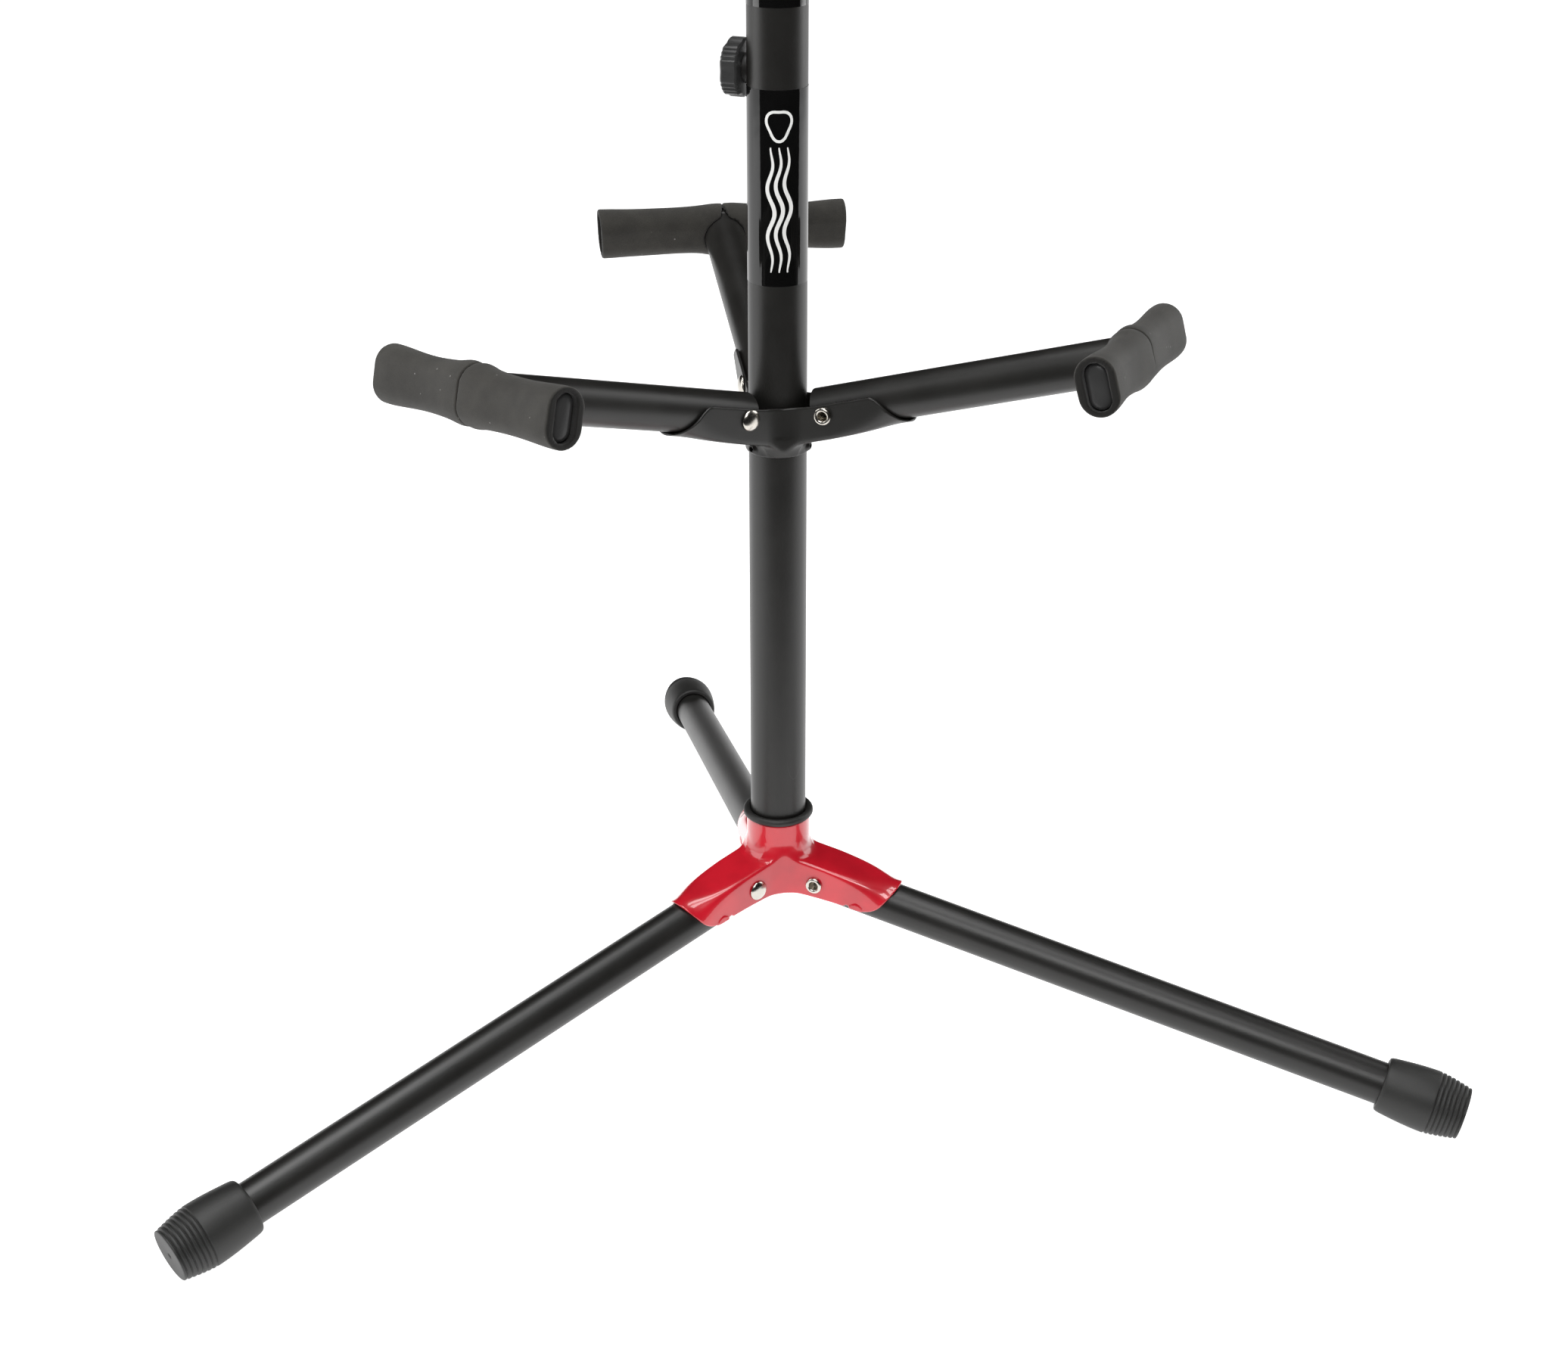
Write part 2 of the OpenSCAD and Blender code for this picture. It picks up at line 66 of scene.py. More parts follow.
class Azimuth(Enum):
    """Directions of the legs and arms, in degrees from +X towards +Y."""

    LEFT = -150.0
    RIGHT = -30.0
    REAR = 90.0


class YokeAzimuth(Enum):
    """Directions of the neck yokes, in degrees from +X towards +Y."""

    FRONT = -90.0
    RIGHT = 30.0
    LEFT = 150.0


class Slot(Enum):
    """The record's material slots."""

    RED = "red_enamel"
    POWDER = "black_powder_coat"
    NICKEL = "nickel_plate"
    ZINC = "zinc_steel"
    FILM = "gloss_film"
    RUBBER = "black_rubber"
    FOAM = "black_foam"
    PLASTIC = "black_plastic"


@dataclass(frozen=True)
class Plan:
    """Sizes shared by several pieces, as in the CAD frame."""

    mast_r: float = 16.5
    collar_r: float = 19.0
    collar_up: float = 34.0
    leg_slope: float = 11.6
    leg_reach: float = 429.0
    leg_pivot_s: float = 28.5
    leg_pivot_h: float = 2.0
    foot_len: float = 48.5
    foot_floor: float = 5.0
    tube_r: float = 12.5
    arm_rise: float = 287.0
    arm_slope: float = 15.7
    arm_pivot_s: float = 33.0
    channel_r: float = 14.6
    sheet: float = 1.8
    bar_s: float = 208.0
    bar_lean: float = 5.5
    bar_len: float = 146.0
    bar_tall: float = 25.0
    bar_thick: float = 12.5
    foam_wall: float = 4.5
    foam_len: float = 77.0
    rivet_wall: float = 14.75
    rivet_hole: float = 3.35
    clamp_azimuth: float = 150.0
    clamp_z: float = 582.0
    knob_face: float = 18.0
    knob_r: float = 16.0
    yoke_tilt: float = 12.0
    yoke_centre: float = 79.0
    yoke_arc_r: float = 33.0
    yoke_prong: float = 34.0
    yoke_hook_r: float = 12.0
    yoke_hook_up: float = 8.0
    yoke_z: float = 954.0

    @property
    def leg_z(self) -> float:
        """Height at which the legs' axes cross, from the base hub's top rim."""
        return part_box("base_hub")[1].z / MM - self.collar_up

    @property
    def arm_z(self) -> float:
        """Height at which the arms' axes cross."""
        return self.leg_z + self.arm_rise


PLAN = Plan()


@dataclass(frozen=True)
class Axes:
    """A local frame whose first axis points along azimuth and rises by rise degrees.

    The other two axes are turned about the first by roll degrees.
    """

    origin: tuple[float, float, float]
    azimuth: float
    rise: float = 0.0
    roll: float = 0.0

    def matrix(self) -> np.ndarray:
        """Rows are the s, t and h directions.

        Returns:
            A 3 by 3 rotation.
        """
        a, b, c = math.radians(self.azimuth), math.radians(self.rise), math.radians(self.roll)
        s = np.array([math.cos(b) * math.cos(a), math.cos(b) * math.sin(a), math.sin(b)])
        t = np.array([-math.sin(a), math.cos(a), 0.0])
        h = np.cross(s, t)
        return np.stack([s, math.cos(c) * t + math.sin(c) * h, math.cos(c) * h - math.sin(c) * t])

    def place(self, points: np.ndarray) -> np.ndarray:
        """Local points to the row frame: origin + s, t, h times the three directions."""
        return np.asarray(self.origin) + points @ self.matrix()

    def local(self, points: np.ndarray) -> np.ndarray:
        """Row-frame points to local ones."""
        return (points - np.asarray(self.origin)) @ self.matrix().T


def leg_axes(azimuth: float) -> Axes:
    """The frame of a leg."""
    return Axes((0.0, 0.0, PLAN.leg_z), azimuth, -PLAN.leg_slope)


def arm_axes(azimuth: float) -> Axes:
    """The frame of an arm."""
    return Axes((0.0, 0.0, PLAN.arm_z), azimuth, PLAN.arm_slope)


def bar_axes(azimuth: float) -> Axes:
    """The frame of a cross bar: its arm's, turned so that the front end of a front bar is up."""
    lean = {Azimuth.LEFT.value: PLAN.bar_lean, Azimuth.RIGHT.value: -PLAN.bar_lean}.get(azimuth, 0.0)
    return Axes((0.0, 0.0, PLAN.arm_z), azimuth, PLAN.arm_slope, lean)


# ---- Surfaces -------------------------------------------------------------------------


def ramp(x: np.ndarray, low: float, high: float) -> np.ndarray:
    """0 below low and 1 above high, with the cubic 3u^2 - 2u^3 between."""
    u = np.clip((x - low) / (high - low), 0.0, 1.0)
    return u * u * (3 - 2 * u)


def join(a: np.ndarray, b: np.ndarray, k: float) -> np.ndarray:
    """Union of two distances with a fillet: min(a, b) - (k - |a - b|)^2 / 4k where |a - b| < k."""
    h = np.maximum(k - np.abs(a - b), 0.0)
    return np.minimum(a, b) - h * h / (4 * k)


def meet(a: np.ndarray, b: np.ndarray, k: float) -> np.ndarray:
    """Intersection of two distances with a rounded edge, the mirror of join."""
    return -join(-a, -b, k)


def squared(a: np.ndarray, b: np.ndarray, n: np.ndarray) -> np.ndarray:
    """The length (|a|^n + |b|^n)^(1/n): round for n = 2, nearly square for a large n."""
    m = np.maximum(np.maximum(np.abs(a), np.abs(b)), 1e-9)
    return m * ((np.abs(a) / m) ** n + (np.abs(b) / m) ** n) ** (1 / n)


def coords(*parts: np.ndarray | float) -> np.ndarray:
    """Coordinates as the last axis of one array; a plain number is repeated to fit."""
    return np.stack(np.broadcast_arrays(*parts), -1)


def waves(points: np.ndarray, seed: int, length: float, count: int = 6) -> np.ndarray:
    """Gentle seeded unevenness: the mean of count sines along random directions.

    Args:
        points: N by 3 positions.
        seed: Picks the directions and phases.
        length: Typical wavelength.
        count: How many sines are added.
    Returns:
        N values, mostly between -1 and 1.
    """
    rng = np.random.default_rng(seed)
    k = rng.normal(size=(3, count)) * 2 * math.pi / length / 1.7
    return np.sin(points @ k + rng.uniform(0, 2 * math.pi, count)).sum(1) / math.sqrt(count)


@dataclass
class Surface:
    """Points with faces, and optional normals and a per-point value."""

    points: np.ndarray
    faces: Sequence[Sequence[int]]
    normals: np.ndarray | None = None
    value: np.ndarray | None = None

    def placed(self, axes: Axes) -> "Surface":
        """The same surface, moved from a local frame to the row frame."""
        normals = None if self.normals is None else self.normals @ axes.matrix()
        return Surface(axes.place(self.points), self.faces, normals, self.value)


def merged(parts: Sequence[Surface]) -> Surface:
    """Several surfaces as one, with no points shared."""
    starts = np.cumsum([0] + [len(p.points) for p in parts[:-1]])
    faces = [[i + int(start) for i in f] for p, start in zip(parts, starts) for f in p.faces]
    values = None if parts[0].value is None else np.concatenate([p.value for p in parts])
    return Surface(np.concatenate([p.points for p in parts]), faces, None, values)


def gradient(field: Field, points: np.ndarray, step: float = 0.05) -> np.ndarray:
    """Central differences of a field, divided by twice the step."""
    shifts = np.eye(3) * step
    return np.stack([field(points + d) - field(points - d) for d in shifts], 1) / (2 * step)


def largest_sheet(count: int, faces: np.ndarray) -> np.ndarray:
    """The faces of the largest connected sheet.

    Every point takes the lowest number among its neighbours, and then the number of that
    number, until nothing changes; points with one number are connected.

    Args:
        count: Number of points.
        faces: N by 4 point numbers.
    Returns:
        The rows of faces that belong to the sheet with the most faces.
    """
    label = np.arange(count)
    while True:
        lower = label.copy()
        np.minimum.at(lower, faces, label[faces].min(1)[:, None])
        lower = lower[lower]
        if np.array_equal(lower, label):
            break
        label = lower
    mine = label[faces[:, 0]]
    return faces[mine == np.bincount(mine).argmax()]


def skin(field: Field, low: Sequence[float], high: Sequence[float], step: float) -> Surface:
    """The zero surface of a field, as quads.

    Each grid cell that the surface crosses gets one point, the mean of the crossings on the
    cell's edges, and each crossed grid edge gets the quad of its four cells. The points then
    move onto the surface along the gradient, p - f * g / |g|^2, and the gradient is their normal.

    Args:
        field: Negative inside; takes N by 3 points.
        low: Lowest corner of the region.
        high: Highest corner.
        step: Grid spacing.
    Returns:
        The surface with normals outward.
    """
    ax = [np.arange(a, b + step, step) for a, b in zip(low, high)]
    shape = tuple(len(a) for a in ax)
    grid = np.stack(np.meshgrid(*ax, indexing="ij"), -1).reshape(-1, 3)
    f = np.concatenate([field(part) for part in np.array_split(grid, max(1, len(grid) // 400000))])
    f = f.reshape(shape)
    cells = tuple(n - 1 for n in shape)
    total = np.zeros(cells + (3,), np.float32)
    count = np.zeros(cells, np.float32)
    crossings = []
    for axis in range(3):
        a = np.take(f, range(shape[axis] - 1), axis)
        b = np.take(f, range(1, shape[axis]), axis)
        where = np.nonzero((a < 0) != (b < 0))
        t = a[where] / (a[where] - b[where])
        base = np.stack(where, 1).astype(np.float32)
        base[:, axis] += t
        others = [i for i in range(3) if i != axis]
        inner = np.ones(len(t), bool)
        for o in others:
            inner &= (where[o] > 0) & (where[o] < shape[o] - 1)
        index = np.stack(where, 1)
        ring = []
        for du, dv in ((-1, -1), (0, -1), (0, 0), (-1, 0)):
            c = index.copy()
            c[:, others[0]] += du
            c[:, others[1]] += dv
            ok = np.all((c >= 0) & (c < np.array(cells)), 1)
            np.add.at(total, tuple(c[ok].T), base[ok])
            np.add.at(count, tuple(c[ok].T), 1)
            ring.append(c[inner])
        flip = (a[where] < 0)[inner]
        if axis == 1:
            flip = ~flip
        crossings.append((np.stack(ring, 1), flip))
    used = count > 0
    number = np.full(cells, -1, np.int64)
    number[used] = np.arange(int(used.sum()))
    points = total[used] / count[used][:, None] * step + np.asarray(low)
    quads = []
    for ring, flip in crossings:
        q = number[ring[..., 0], ring[..., 1], ring[..., 2]]
        quads.append(np.where(flip[:, None], q, q[:, ::-1]))
    faces = largest_sheet(len(points), np.concatenate(quads))
    used_points, numbers = np.unique(faces, return_inverse=True)
    points, faces = points[used_points], numbers.reshape(faces.shape)
    for _ in range(3):
        g = gradient(field, points)
        size = np.maximum((g * g).sum(1), 0.2)
        shift = -(field(points) / size)[:, None] * g
        points = points + np.clip(shift, -0.5 * step, 0.5 * step)
    g = gradient(field, points)
    normals = g / np.maximum(np.linalg.norm(g, axis=1), 1e-6)[:, None]
    return Surface(points, faces.tolist(), normals)


def rings(points: np.ndarray, close_rows: bool = False, close_columns: bool = True) -> Surface:
    """Quads over a grid of rings, or of open strips.

    Args:
        points: rows by columns by 3.
        close_rows: Whether the last ring also joins the first.
        close_columns: Whether the columns close round each ring.
    Returns:
        The surface; its faces look outward where the rows run along a right-handed axis.
    """
    rows, columns = points.shape[:2]
    i = np.arange(rows if close_rows else rows - 1)[:, None] * columns
    j = np.arange(columns if close_columns else columns - 1)[None, :]
    after = (i + columns) % (rows * columns)
    right = (j + 1) % columns
    faces = np.stack([i + j, i + right, after + right, after + j], -1).reshape(-1, 4)
    return Surface(points.reshape(-1, 3), faces.tolist())


def capped(points: np.ndarray, start: bool = True, end: bool = True) -> Surface:
    """Rings closed by a fan of triangles to the middle of the first and the last ring."""
    body = rings(points)
    rows, columns = points.shape[:2]
    extra, faces = [], list(body.faces)
    for wanted, row, turn in ((start, 0, -1), (end, rows - 1, 1)):
        if wanted:
            middle = rows * columns + len(extra)
            extra.append(points[row].mean(0))
            j = np.arange(columns) + row * columns
            k = (np.arange(columns) + 1) % columns + row * columns
            fan = [[int(a), int(b), middle][::turn] for a, b in zip(j, k)]
            faces.extend(fan)
    return Surface(np.concatenate([body.points, np.array(extra).reshape(-1, 3)]), faces)


def eased(outline: Sequence[Sequence[float]], radius: float, steps: int = 4) -> np.ndarray:
    """A polyline whose inner corners are quadratic curves that start radius before the corner,
    or 0.45 of the shorter side where that is less."""
    p = np.asarray(outline, float)
    before, after = p[:-2] - p[1:-1], p[2:] - p[1:-1]
    lb, la = np.linalg.norm(before, axis=1), np.linalg.norm(after, axis=1)
    reach = np.minimum(radius, 0.45 * np.minimum(lb, la))[:, None]
    a = p[1:-1] + before / lb[:, None] * reach
    b = p[1:-1] + after / la[:, None] * reach
    u = np.linspace(0, 1, steps + 1)[None, :, None]
    curves = (1 - u) ** 2 * a[:, None] + 2 * u * (1 - u) * p[1:-1][:, None] + u * u * b[:, None]
    return np.concatenate([p[:1], curves.reshape(-1, 2), p[-1:]])


def lathe(profile: np.ndarray, around: int = 72) -> Surface:
    """A profile of (radius, height) points turned about local +Z: (r cos a, r sin a, z).

    An end of the profile that lies on the axis is closed by a fan of triangles, and a profile
    that ends where it started is closed along its rings.
    """
    a = np.linspace(0, 2 * math.pi, around, endpoint=False)
    r, z = profile[:, 0][:, None], profile[:, 1][:, None]
    turned = coords(r * np.cos(a), r * np.sin(a), z)
    if np.allclose(profile[0], profile[-1]):
        return rings(turned[:-1], close_rows=True)
    first, last = (bool(x < 1e-6) for x in profile[[0, -1], 0])
    return capped(turned[int(first):len(turned) - int(last)], first, last)


def oval_loft(tall: float, thick: float, profile: np.ndarray, around: int = 20) -> Surface:
    """An oval with round ends, tall along local X and thick along Y, carried along Z.

    Args:
        tall: Height of the oval.
        thick: Its thickness.
        profile: Rows of (inset from the outline, z), from one end to the other.
        around: Points in each half circle.
    Returns:
        The closed surface.
    """
    a = np.linspace(-math.pi / 2, math.pi / 2, around)
    side = np.concatenate([np.ones(around), -np.ones(around)])
    angle = np.concatenate([a, a + math.pi])
    flat = (tall - thick) / 2
    r = thick / 2 - profile[:, 0][:, None]
    return capped(coords(side * flat + r * np.cos(angle), r * np.sin(angle), profile[:, 1][:, None]))


def sweep(path: np.ndarray, across: np.ndarray, radius: np.ndarray, around: int = 28) -> Surface:
    """A round tube of varying radius along a path.

    Args:
        path: N by 3 centres.
        across: N by 3 unit vectors square to the path.
        radius: N radii.
        around: Points in each ring.
    Returns:
        The closed surface: centre + r (cos a * across + sin a * up), up = tangent x across.
    """
    tangent = np.gradient(path, axis=0)
    tangent /= np.linalg.norm(tangent, axis=1)[:, None]
    up = np.cross(tangent, across)
    a = np.linspace(0, 2 * math.pi, around, endpoint=False)[None, :, None]
    ring = np.cos(a) * across[:, None] + np.sin(a) * up[:, None]
    return capped(path[:, None] + radius[:, None, None] * ring)


# ---- Materials ------------------------------------------------------------------------


class Graph:
    """The node tree of one material."""

    def __init__(self, name: str) -> None:
        """Starts a material with one Principled shader.

        Args:
            name: The material's name.
        """
        self.material = bpy.data.materials.new(name)
        self.material.use_nodes = True
        self.tree = self.material.node_tree
        self.shader = self.tree.nodes["Principled BSDF"]

    def node(self, kind: str, settings: dict | None = None, **inputs: object) -> bpy.types.Node:
        """Adds any node, sets its properties and fills or links its inputs.

        Args:
            kind: The node's bl_idname.
            settings: Properties of the node.
            **inputs: Input names, with underscores for spaces, and numbers, colours or Socks.
        Returns:
            The node.
        """
        made = self.tree.nodes.new(kind)
        for key, value in (settings or {}).items():
            setattr(made, key, value)
        for key, value in inputs.items():
            socket = made.inputs[int(key[1:])] if key[0] == "i" and key[1:].isdigit() else \
                made.inputs[key.replace("_", " ")]
            self.feed(socket, value)
        return made

    def sock(self, kind: str, output: str | int, settings: dict | None = None,
             **inputs: object) -> "Sock":
        """One output of a new node, made as node makes it."""
        return Sock(self, self.node(kind, settings, **inputs).outputs[output])

    def feed(self, socket: bpy.types.NodeSocket, value: object) -> None:
        """Links a Sock to a socket, or sets the socket to a plain value."""
        if isinstance(value, Sock):
            self.tree.links.new(value.socket, socket)
        else:
            socket.default_value = value

    def set(self, **inputs: object) -> None:
        """Fills the Principled shader's inputs, with underscores for spaces."""
        for key, value in inputs.items():
            self.feed(self.shader.inputs[key.replace("_", " ")], value)

    def place(self) -> "Sock":
        """Object coordinates, in metres."""
        return self.sock("ShaderNodeTexCoord", "Object")

    def attribute(self, name: str) -> "Sock":
        """A number stored on the mesh's points."""
        return self.sock("ShaderNodeAttribute", "Fac", {"attribute_name": name})

    def noise(self, scale: float, detail: float = 2.0, at: "Sock | None" = None) -> "Sock":
        """Noise from 0 to 1 over object coordinates; scale is features to the metre."""
        return self.sock("ShaderNodeTexNoise", "Fac", Vector=at or self.place(), Scale=scale,
                         Detail=detail)

    def specks(self, scale: float) -> "Sock":
        """Distance to the nearest of scattered points, in cells."""
        return self.sock("ShaderNodeTexVoronoi", "Distance", Vector=self.place(), Scale=scale)

    def colours(self, a: Sequence[float], b: Sequence[float], by: "Sock") -> "Sock":
        """A colour that runs from a to b with by."""
        made = self.node("ShaderNodeMix", {"data_type": "RGBA"}, i0=by)
        for name, colour in (("A", a), ("B", b)):
            socket = [s for s in made.inputs if s.name == name and s.type == "RGBA"][0]
            self.feed(socket, colour if isinstance(colour, Sock) else (*colour, 1.0))
        return Sock(self, [s for s in made.outputs if s.type == "RGBA"][0])

    def bump(self, height: "Sock", strength: float, distance: float) -> "Sock":
        """A normal bent by a height; distance is metres per unit of height."""
        return self.sock("ShaderNodeBump", "Normal", Strength=strength, Distance=distance,
                         Height=height)


class Sock:
    """A shader output that can be calculated with."""

    def __init__(self, graph: Graph, socket: bpy.types.NodeSocket) -> None:
        """Wraps a socket of a graph's node."""
        self.graph = graph
        self.socket = socket

    def _math(self, operation: str, *terms: object) -> "Sock":
        """A Math node's result for its terms, in order."""
        inputs = {f"i{n}": v for n, v in enumerate(terms)}
        return self.graph.sock("ShaderNodeMath", 0, {"operation": operation}, **inputs)

    def __add__(self, other: object) -> "Sock":
        """This plus other, in either order."""
        return self._math("ADD", self, other)

    __radd__ = __add__

    def __sub__(self, other: object) -> "Sock":
        """This minus other."""
        return self._math("SUBTRACT", self, other)

    def __rsub__(self, other: object) -> "Sock":
        """Other minus this."""
        return self._math("SUBTRACT", other, self)

    def __mul__(self, other: object) -> "Sock":
        """This times other, in either order."""
        return self._math("MULTIPLY", self, other)

    __rmul__ = __mul__

    def over(self, low: float, high: float) -> "Sock":
        """0 below low and 1 above high, smooth between."""
        return self.graph.sock("ShaderNodeMapRange", "Result", {"interpolation_type": "SMOOTHSTEP"},
                               Value=self, From_Min=low, From_Max=high)

    def stretched(self, x: float, y: float, z: float) -> "Sock":
        """Coordinates times three factors."""
        return self.graph.sock("ShaderNodeVectorMath", 0, {"operation": "MULTIPLY"}, i0=self,
                               i1=(x, y, z))


@dataclass(frozen=True)
class Finish:
    """A paint, plate or moulded finish with its grain and wear.

    rough_spread is how far the roughness wanders, grain_scale its features to the metre,
    grain_depth the height of its grain in metres, wear the share of fine light scuffs.
    """

    name: str
    slot: Slot
    colour: tuple[float, float, float]
    rough: float
    rough_spread: float = 0.05
    metallic: float = 0.0
    coat: float = 0.0
    coat_rough: float = 0.05
    specular: float = 0.5
    grain_scale: float = 1500.0
    grain_depth: float = 0.0
    wear: float = 0.0
    brushed: float = 1.0

    def build(self) -> bpy.types.Material:
        """Makes the material.

        Returns:
            The material, also listed by its slot's name.
        """
        g = Graph(self.name)
        place = g.place()
        cloud = g.noise(38.0, 3.0, place)
        tint = g.colours([c * 0.86 for c in self.colour], [min(1.0, c * 1.12) for c in self.colour],
                         cloud.over(0.3, 0.7))
        rough = (cloud - 0.5) * (2 * self.rough_spread) + self.rough
        if self.wear > 0:
            thread = g.noise(55.0, 1.0, place.stretched(1.0, 1.0, 0.35))
            line = thread - 0.62
            scratch = (line * line).over(2.0e-6, 0.0)
            patch = g.noise(21.0, 0.0, place).over(0.66, 0.76)
            mark = scratch * patch * self.wear
            light = [min(1.0, c + 0.10) for c in self.colour]
            tint = g.colours(tint, light, mark)
            rough = rough + mark * 0.15
        g.set(Base_Color=tint, Roughness=rough, Metallic=self.metallic, Coat_Weight=self.coat,
              Coat_Roughness=self.coat_rough, Specular_IOR_Level=self.specular)
        if self.grain_depth > 0:
            grain = g.noise(self.grain_scale, 2.0, place.stretched(1.0, 1.0, self.brushed))
            g.set(Normal=g.bump(grain, 1.0, self.grain_depth))
        return g.material


def foam_material() -> bpy.types.Material:
    """Closed-cell foam: a warm grey skin with fine pores and pale specks; where the mesh's
    point value "cut" is 1 it is the darker open inside."""
    g = Graph("foam skin and cut")
    place = g.place()
    cut = g.attribute("cut")
    pores = g.noise(2600.0, 3.0, place)
    patches = g.noise(60.0, 2.0, place)
    skin_tone = g.colours((0.025, 0.0235, 0.0205), (0.043, 0.0405, 0.035),
                          (pores * 0.6 + patches * 0.5).over(0.4, 0.75))
    speck = g.specks(210.0).over(0.13, 0.06) * g.noise(150.0, 0.0, place).over(0.64, 0.70)
    skin_tone = g.colours(skin_tone, (0.22, 0.21, 0.20), speck * 0.8)
    tone = g.colours(skin_tone, (0.0075, 0.0070, 0.0062), cut)
    g.set(Base_Color=tone, Roughness=pores * 0.1 + 0.88, Specular_IOR_Level=0.22,
          Sheen_Weight=0.12, Sheen_Roughness=0.6)
    g.set(Normal=g.bump(pores, 0.75, 0.00022))
    return g.material


FINISHES: tuple[Finish, ...] = (
    Finish("red enamel", Slot.RED, (0.60, 0.010, 0.024), 0.30, 0.02, coat=1.0, coat_rough=0.045,
           grain_scale=240.0, grain_depth=0.00002),
    Finish("satin powder coat", Slot.POWDER, (0.0125, 0.0120, 0.0110), 0.37, 0.03,
           grain_scale=1900.0, grain_depth=0.000045, wear=0.5),
    Finish("nickel plate", Slot.NICKEL, (0.60, 0.57, 0.52), 0.24, 0.06, metallic=1.0,
           grain_scale=1500.0, grain_depth=0.000012, brushed=0.3),
    Finish("zinc plate", Slot.ZINC, (0.62, 0.62, 0.60), 0.30, 0.06, metallic=1.0),
    Finish("gloss film", Slot.FILM, (0.004, 0.004, 0.004), 0.07, 0.02, specular=0.6,
           grain_scale=60.0, grain_depth=0.00012),
    Finish("moulded rubber", Slot.RUBBER, (0.017, 0.017, 0.016), 0.52, 0.07,
           grain_scale=1300.0, grain_depth=0.00006, wear=0.3),
    Finish("moulded plastic", Slot.PLASTIC, (0.034, 0.034, 0.034), 0.34, 0.06,
           grain_scale=800.0, grain_depth=0.00004),
)


class Palette:
    """All materials of the object, by slot."""

    def __init__(self) -> None:
        """Builds every finish once."""
        self.by_slot = {f.slot: f.build() for f in FINISHES}
        self.by_slot[Slot.FOAM] = foam_material()
        ink = Graph("off-white ink")
        ink.set(Base_Color=(0.80, 0.80, 0.78, 1.0), Roughness=0.25)
        self.ink = ink.material

    def __getitem__(self, slot: Slot) -> bpy.types.Material:
        """The material of a slot."""
        return self.by_slot[slot]


# ---- Pieces ---------------------------------------------------------------------------


@dataclass
class Piece:
    """One finished mesh of the visual model.

    body is the CAD body it rides on, nodes are the CAD nodes it stands for.
    """

    name: str
    surface: Surface
    body: str
    slot: Slot
    nodes: tuple[str, ...] = ()
    material: bpy.types.Material | None = None
    foam: float | None = None

    def build(self, palette: Palette) -> bpy.types.Object:
        """Makes the object in the row frame and ties it to its CAD body.

        Args:
            palette: Gives the material where none is stated.
        Returns:
            The object.
        """
        mesh = bpy.data.meshes.new(self.name)
        mesh.from_pydata((self.surface.points * MM).tolist(), [], self.surface.faces)
        mesh.polygons.foreach_set("use_smooth", np.ones(len(mesh.polygons), bool))
        if self.surface.normals is not None:
            mesh.normals_split_custom_set_from_vertices(self.surface.normals.tolist())
        if self.surface.value is not None:
            mesh.attributes.new("cut", "FLOAT", "POINT").data.foreach_set(
                "value", self.surface.value.astype(np.float32))
        mesh.update()
        made = bpy.data.objects.new(self.name, mesh)
        bpy.context.scene.collection.objects.link(made)
        mesh.materials.append(self.material or palette[self.slot])
        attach(made, self.body)
        if self.nodes:
            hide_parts(*self.nodes)
        log.info("%s: %d points, %d faces, rides on %s", self.name, len(mesh.vertices),
                 len(mesh.polygons), self.body)
        return made


@dataclass(frozen=True)
class Spokes:
    """Positions round the mast, told from the nearest spoke and from the one beside it.

    The spokes stand 120 degrees apart, one of them along +Y, and rise by rise degrees.
    """

    z: float
    rise: float

    def coordinates(self, points: np.ndarray) -> tuple[np.ndarray, ...]:
        """Turns each point into the frames of its two nearest spokes.

        With a the angle from the nearest spoke, the other spoke is at 120 degrees - |a|.

        Args:
            points: N by 3.
        Returns:
            Radius, height over the crossing, then s, t, h for each of the two spokes.
        """
        x, y, z = points[:, 0], points[:, 1], points[:, 2] - self.z
        radius = np.hypot(x, y)
        angle = np.arctan2(y, x) - math.pi / 2
        a = angle - np.round(angle / THIRD) * THIRD
        c, s = math.cos(math.radians(self.rise)), math.sin(math.radians(self.rise))
        result = [radius, z]
        for b in (a, THIRD - np.abs(a)):
            u = radius * np.cos(b)
            result += [u * c + z * s, radius * np.sin(b), z * c - u * s]
        return tuple(result)


def channel(s: np.ndarray, t: np.ndarray, h: np.ndarray) -> np.ndarray:
    """Distance to the outside of a channel that arches over h = 0.

    Its section is |t|^n + h^n = r^n: n is 14, nearly square, about the rivet, and falls to 2,
    which is round, from s = 74 mm outwards.
    """
    n = 14.0 - 12.0 * ramp(s, 33.0, 74.0) ** 0.5
    return squared(t, np.maximum(h, 0), n) - PLAN.channel_r


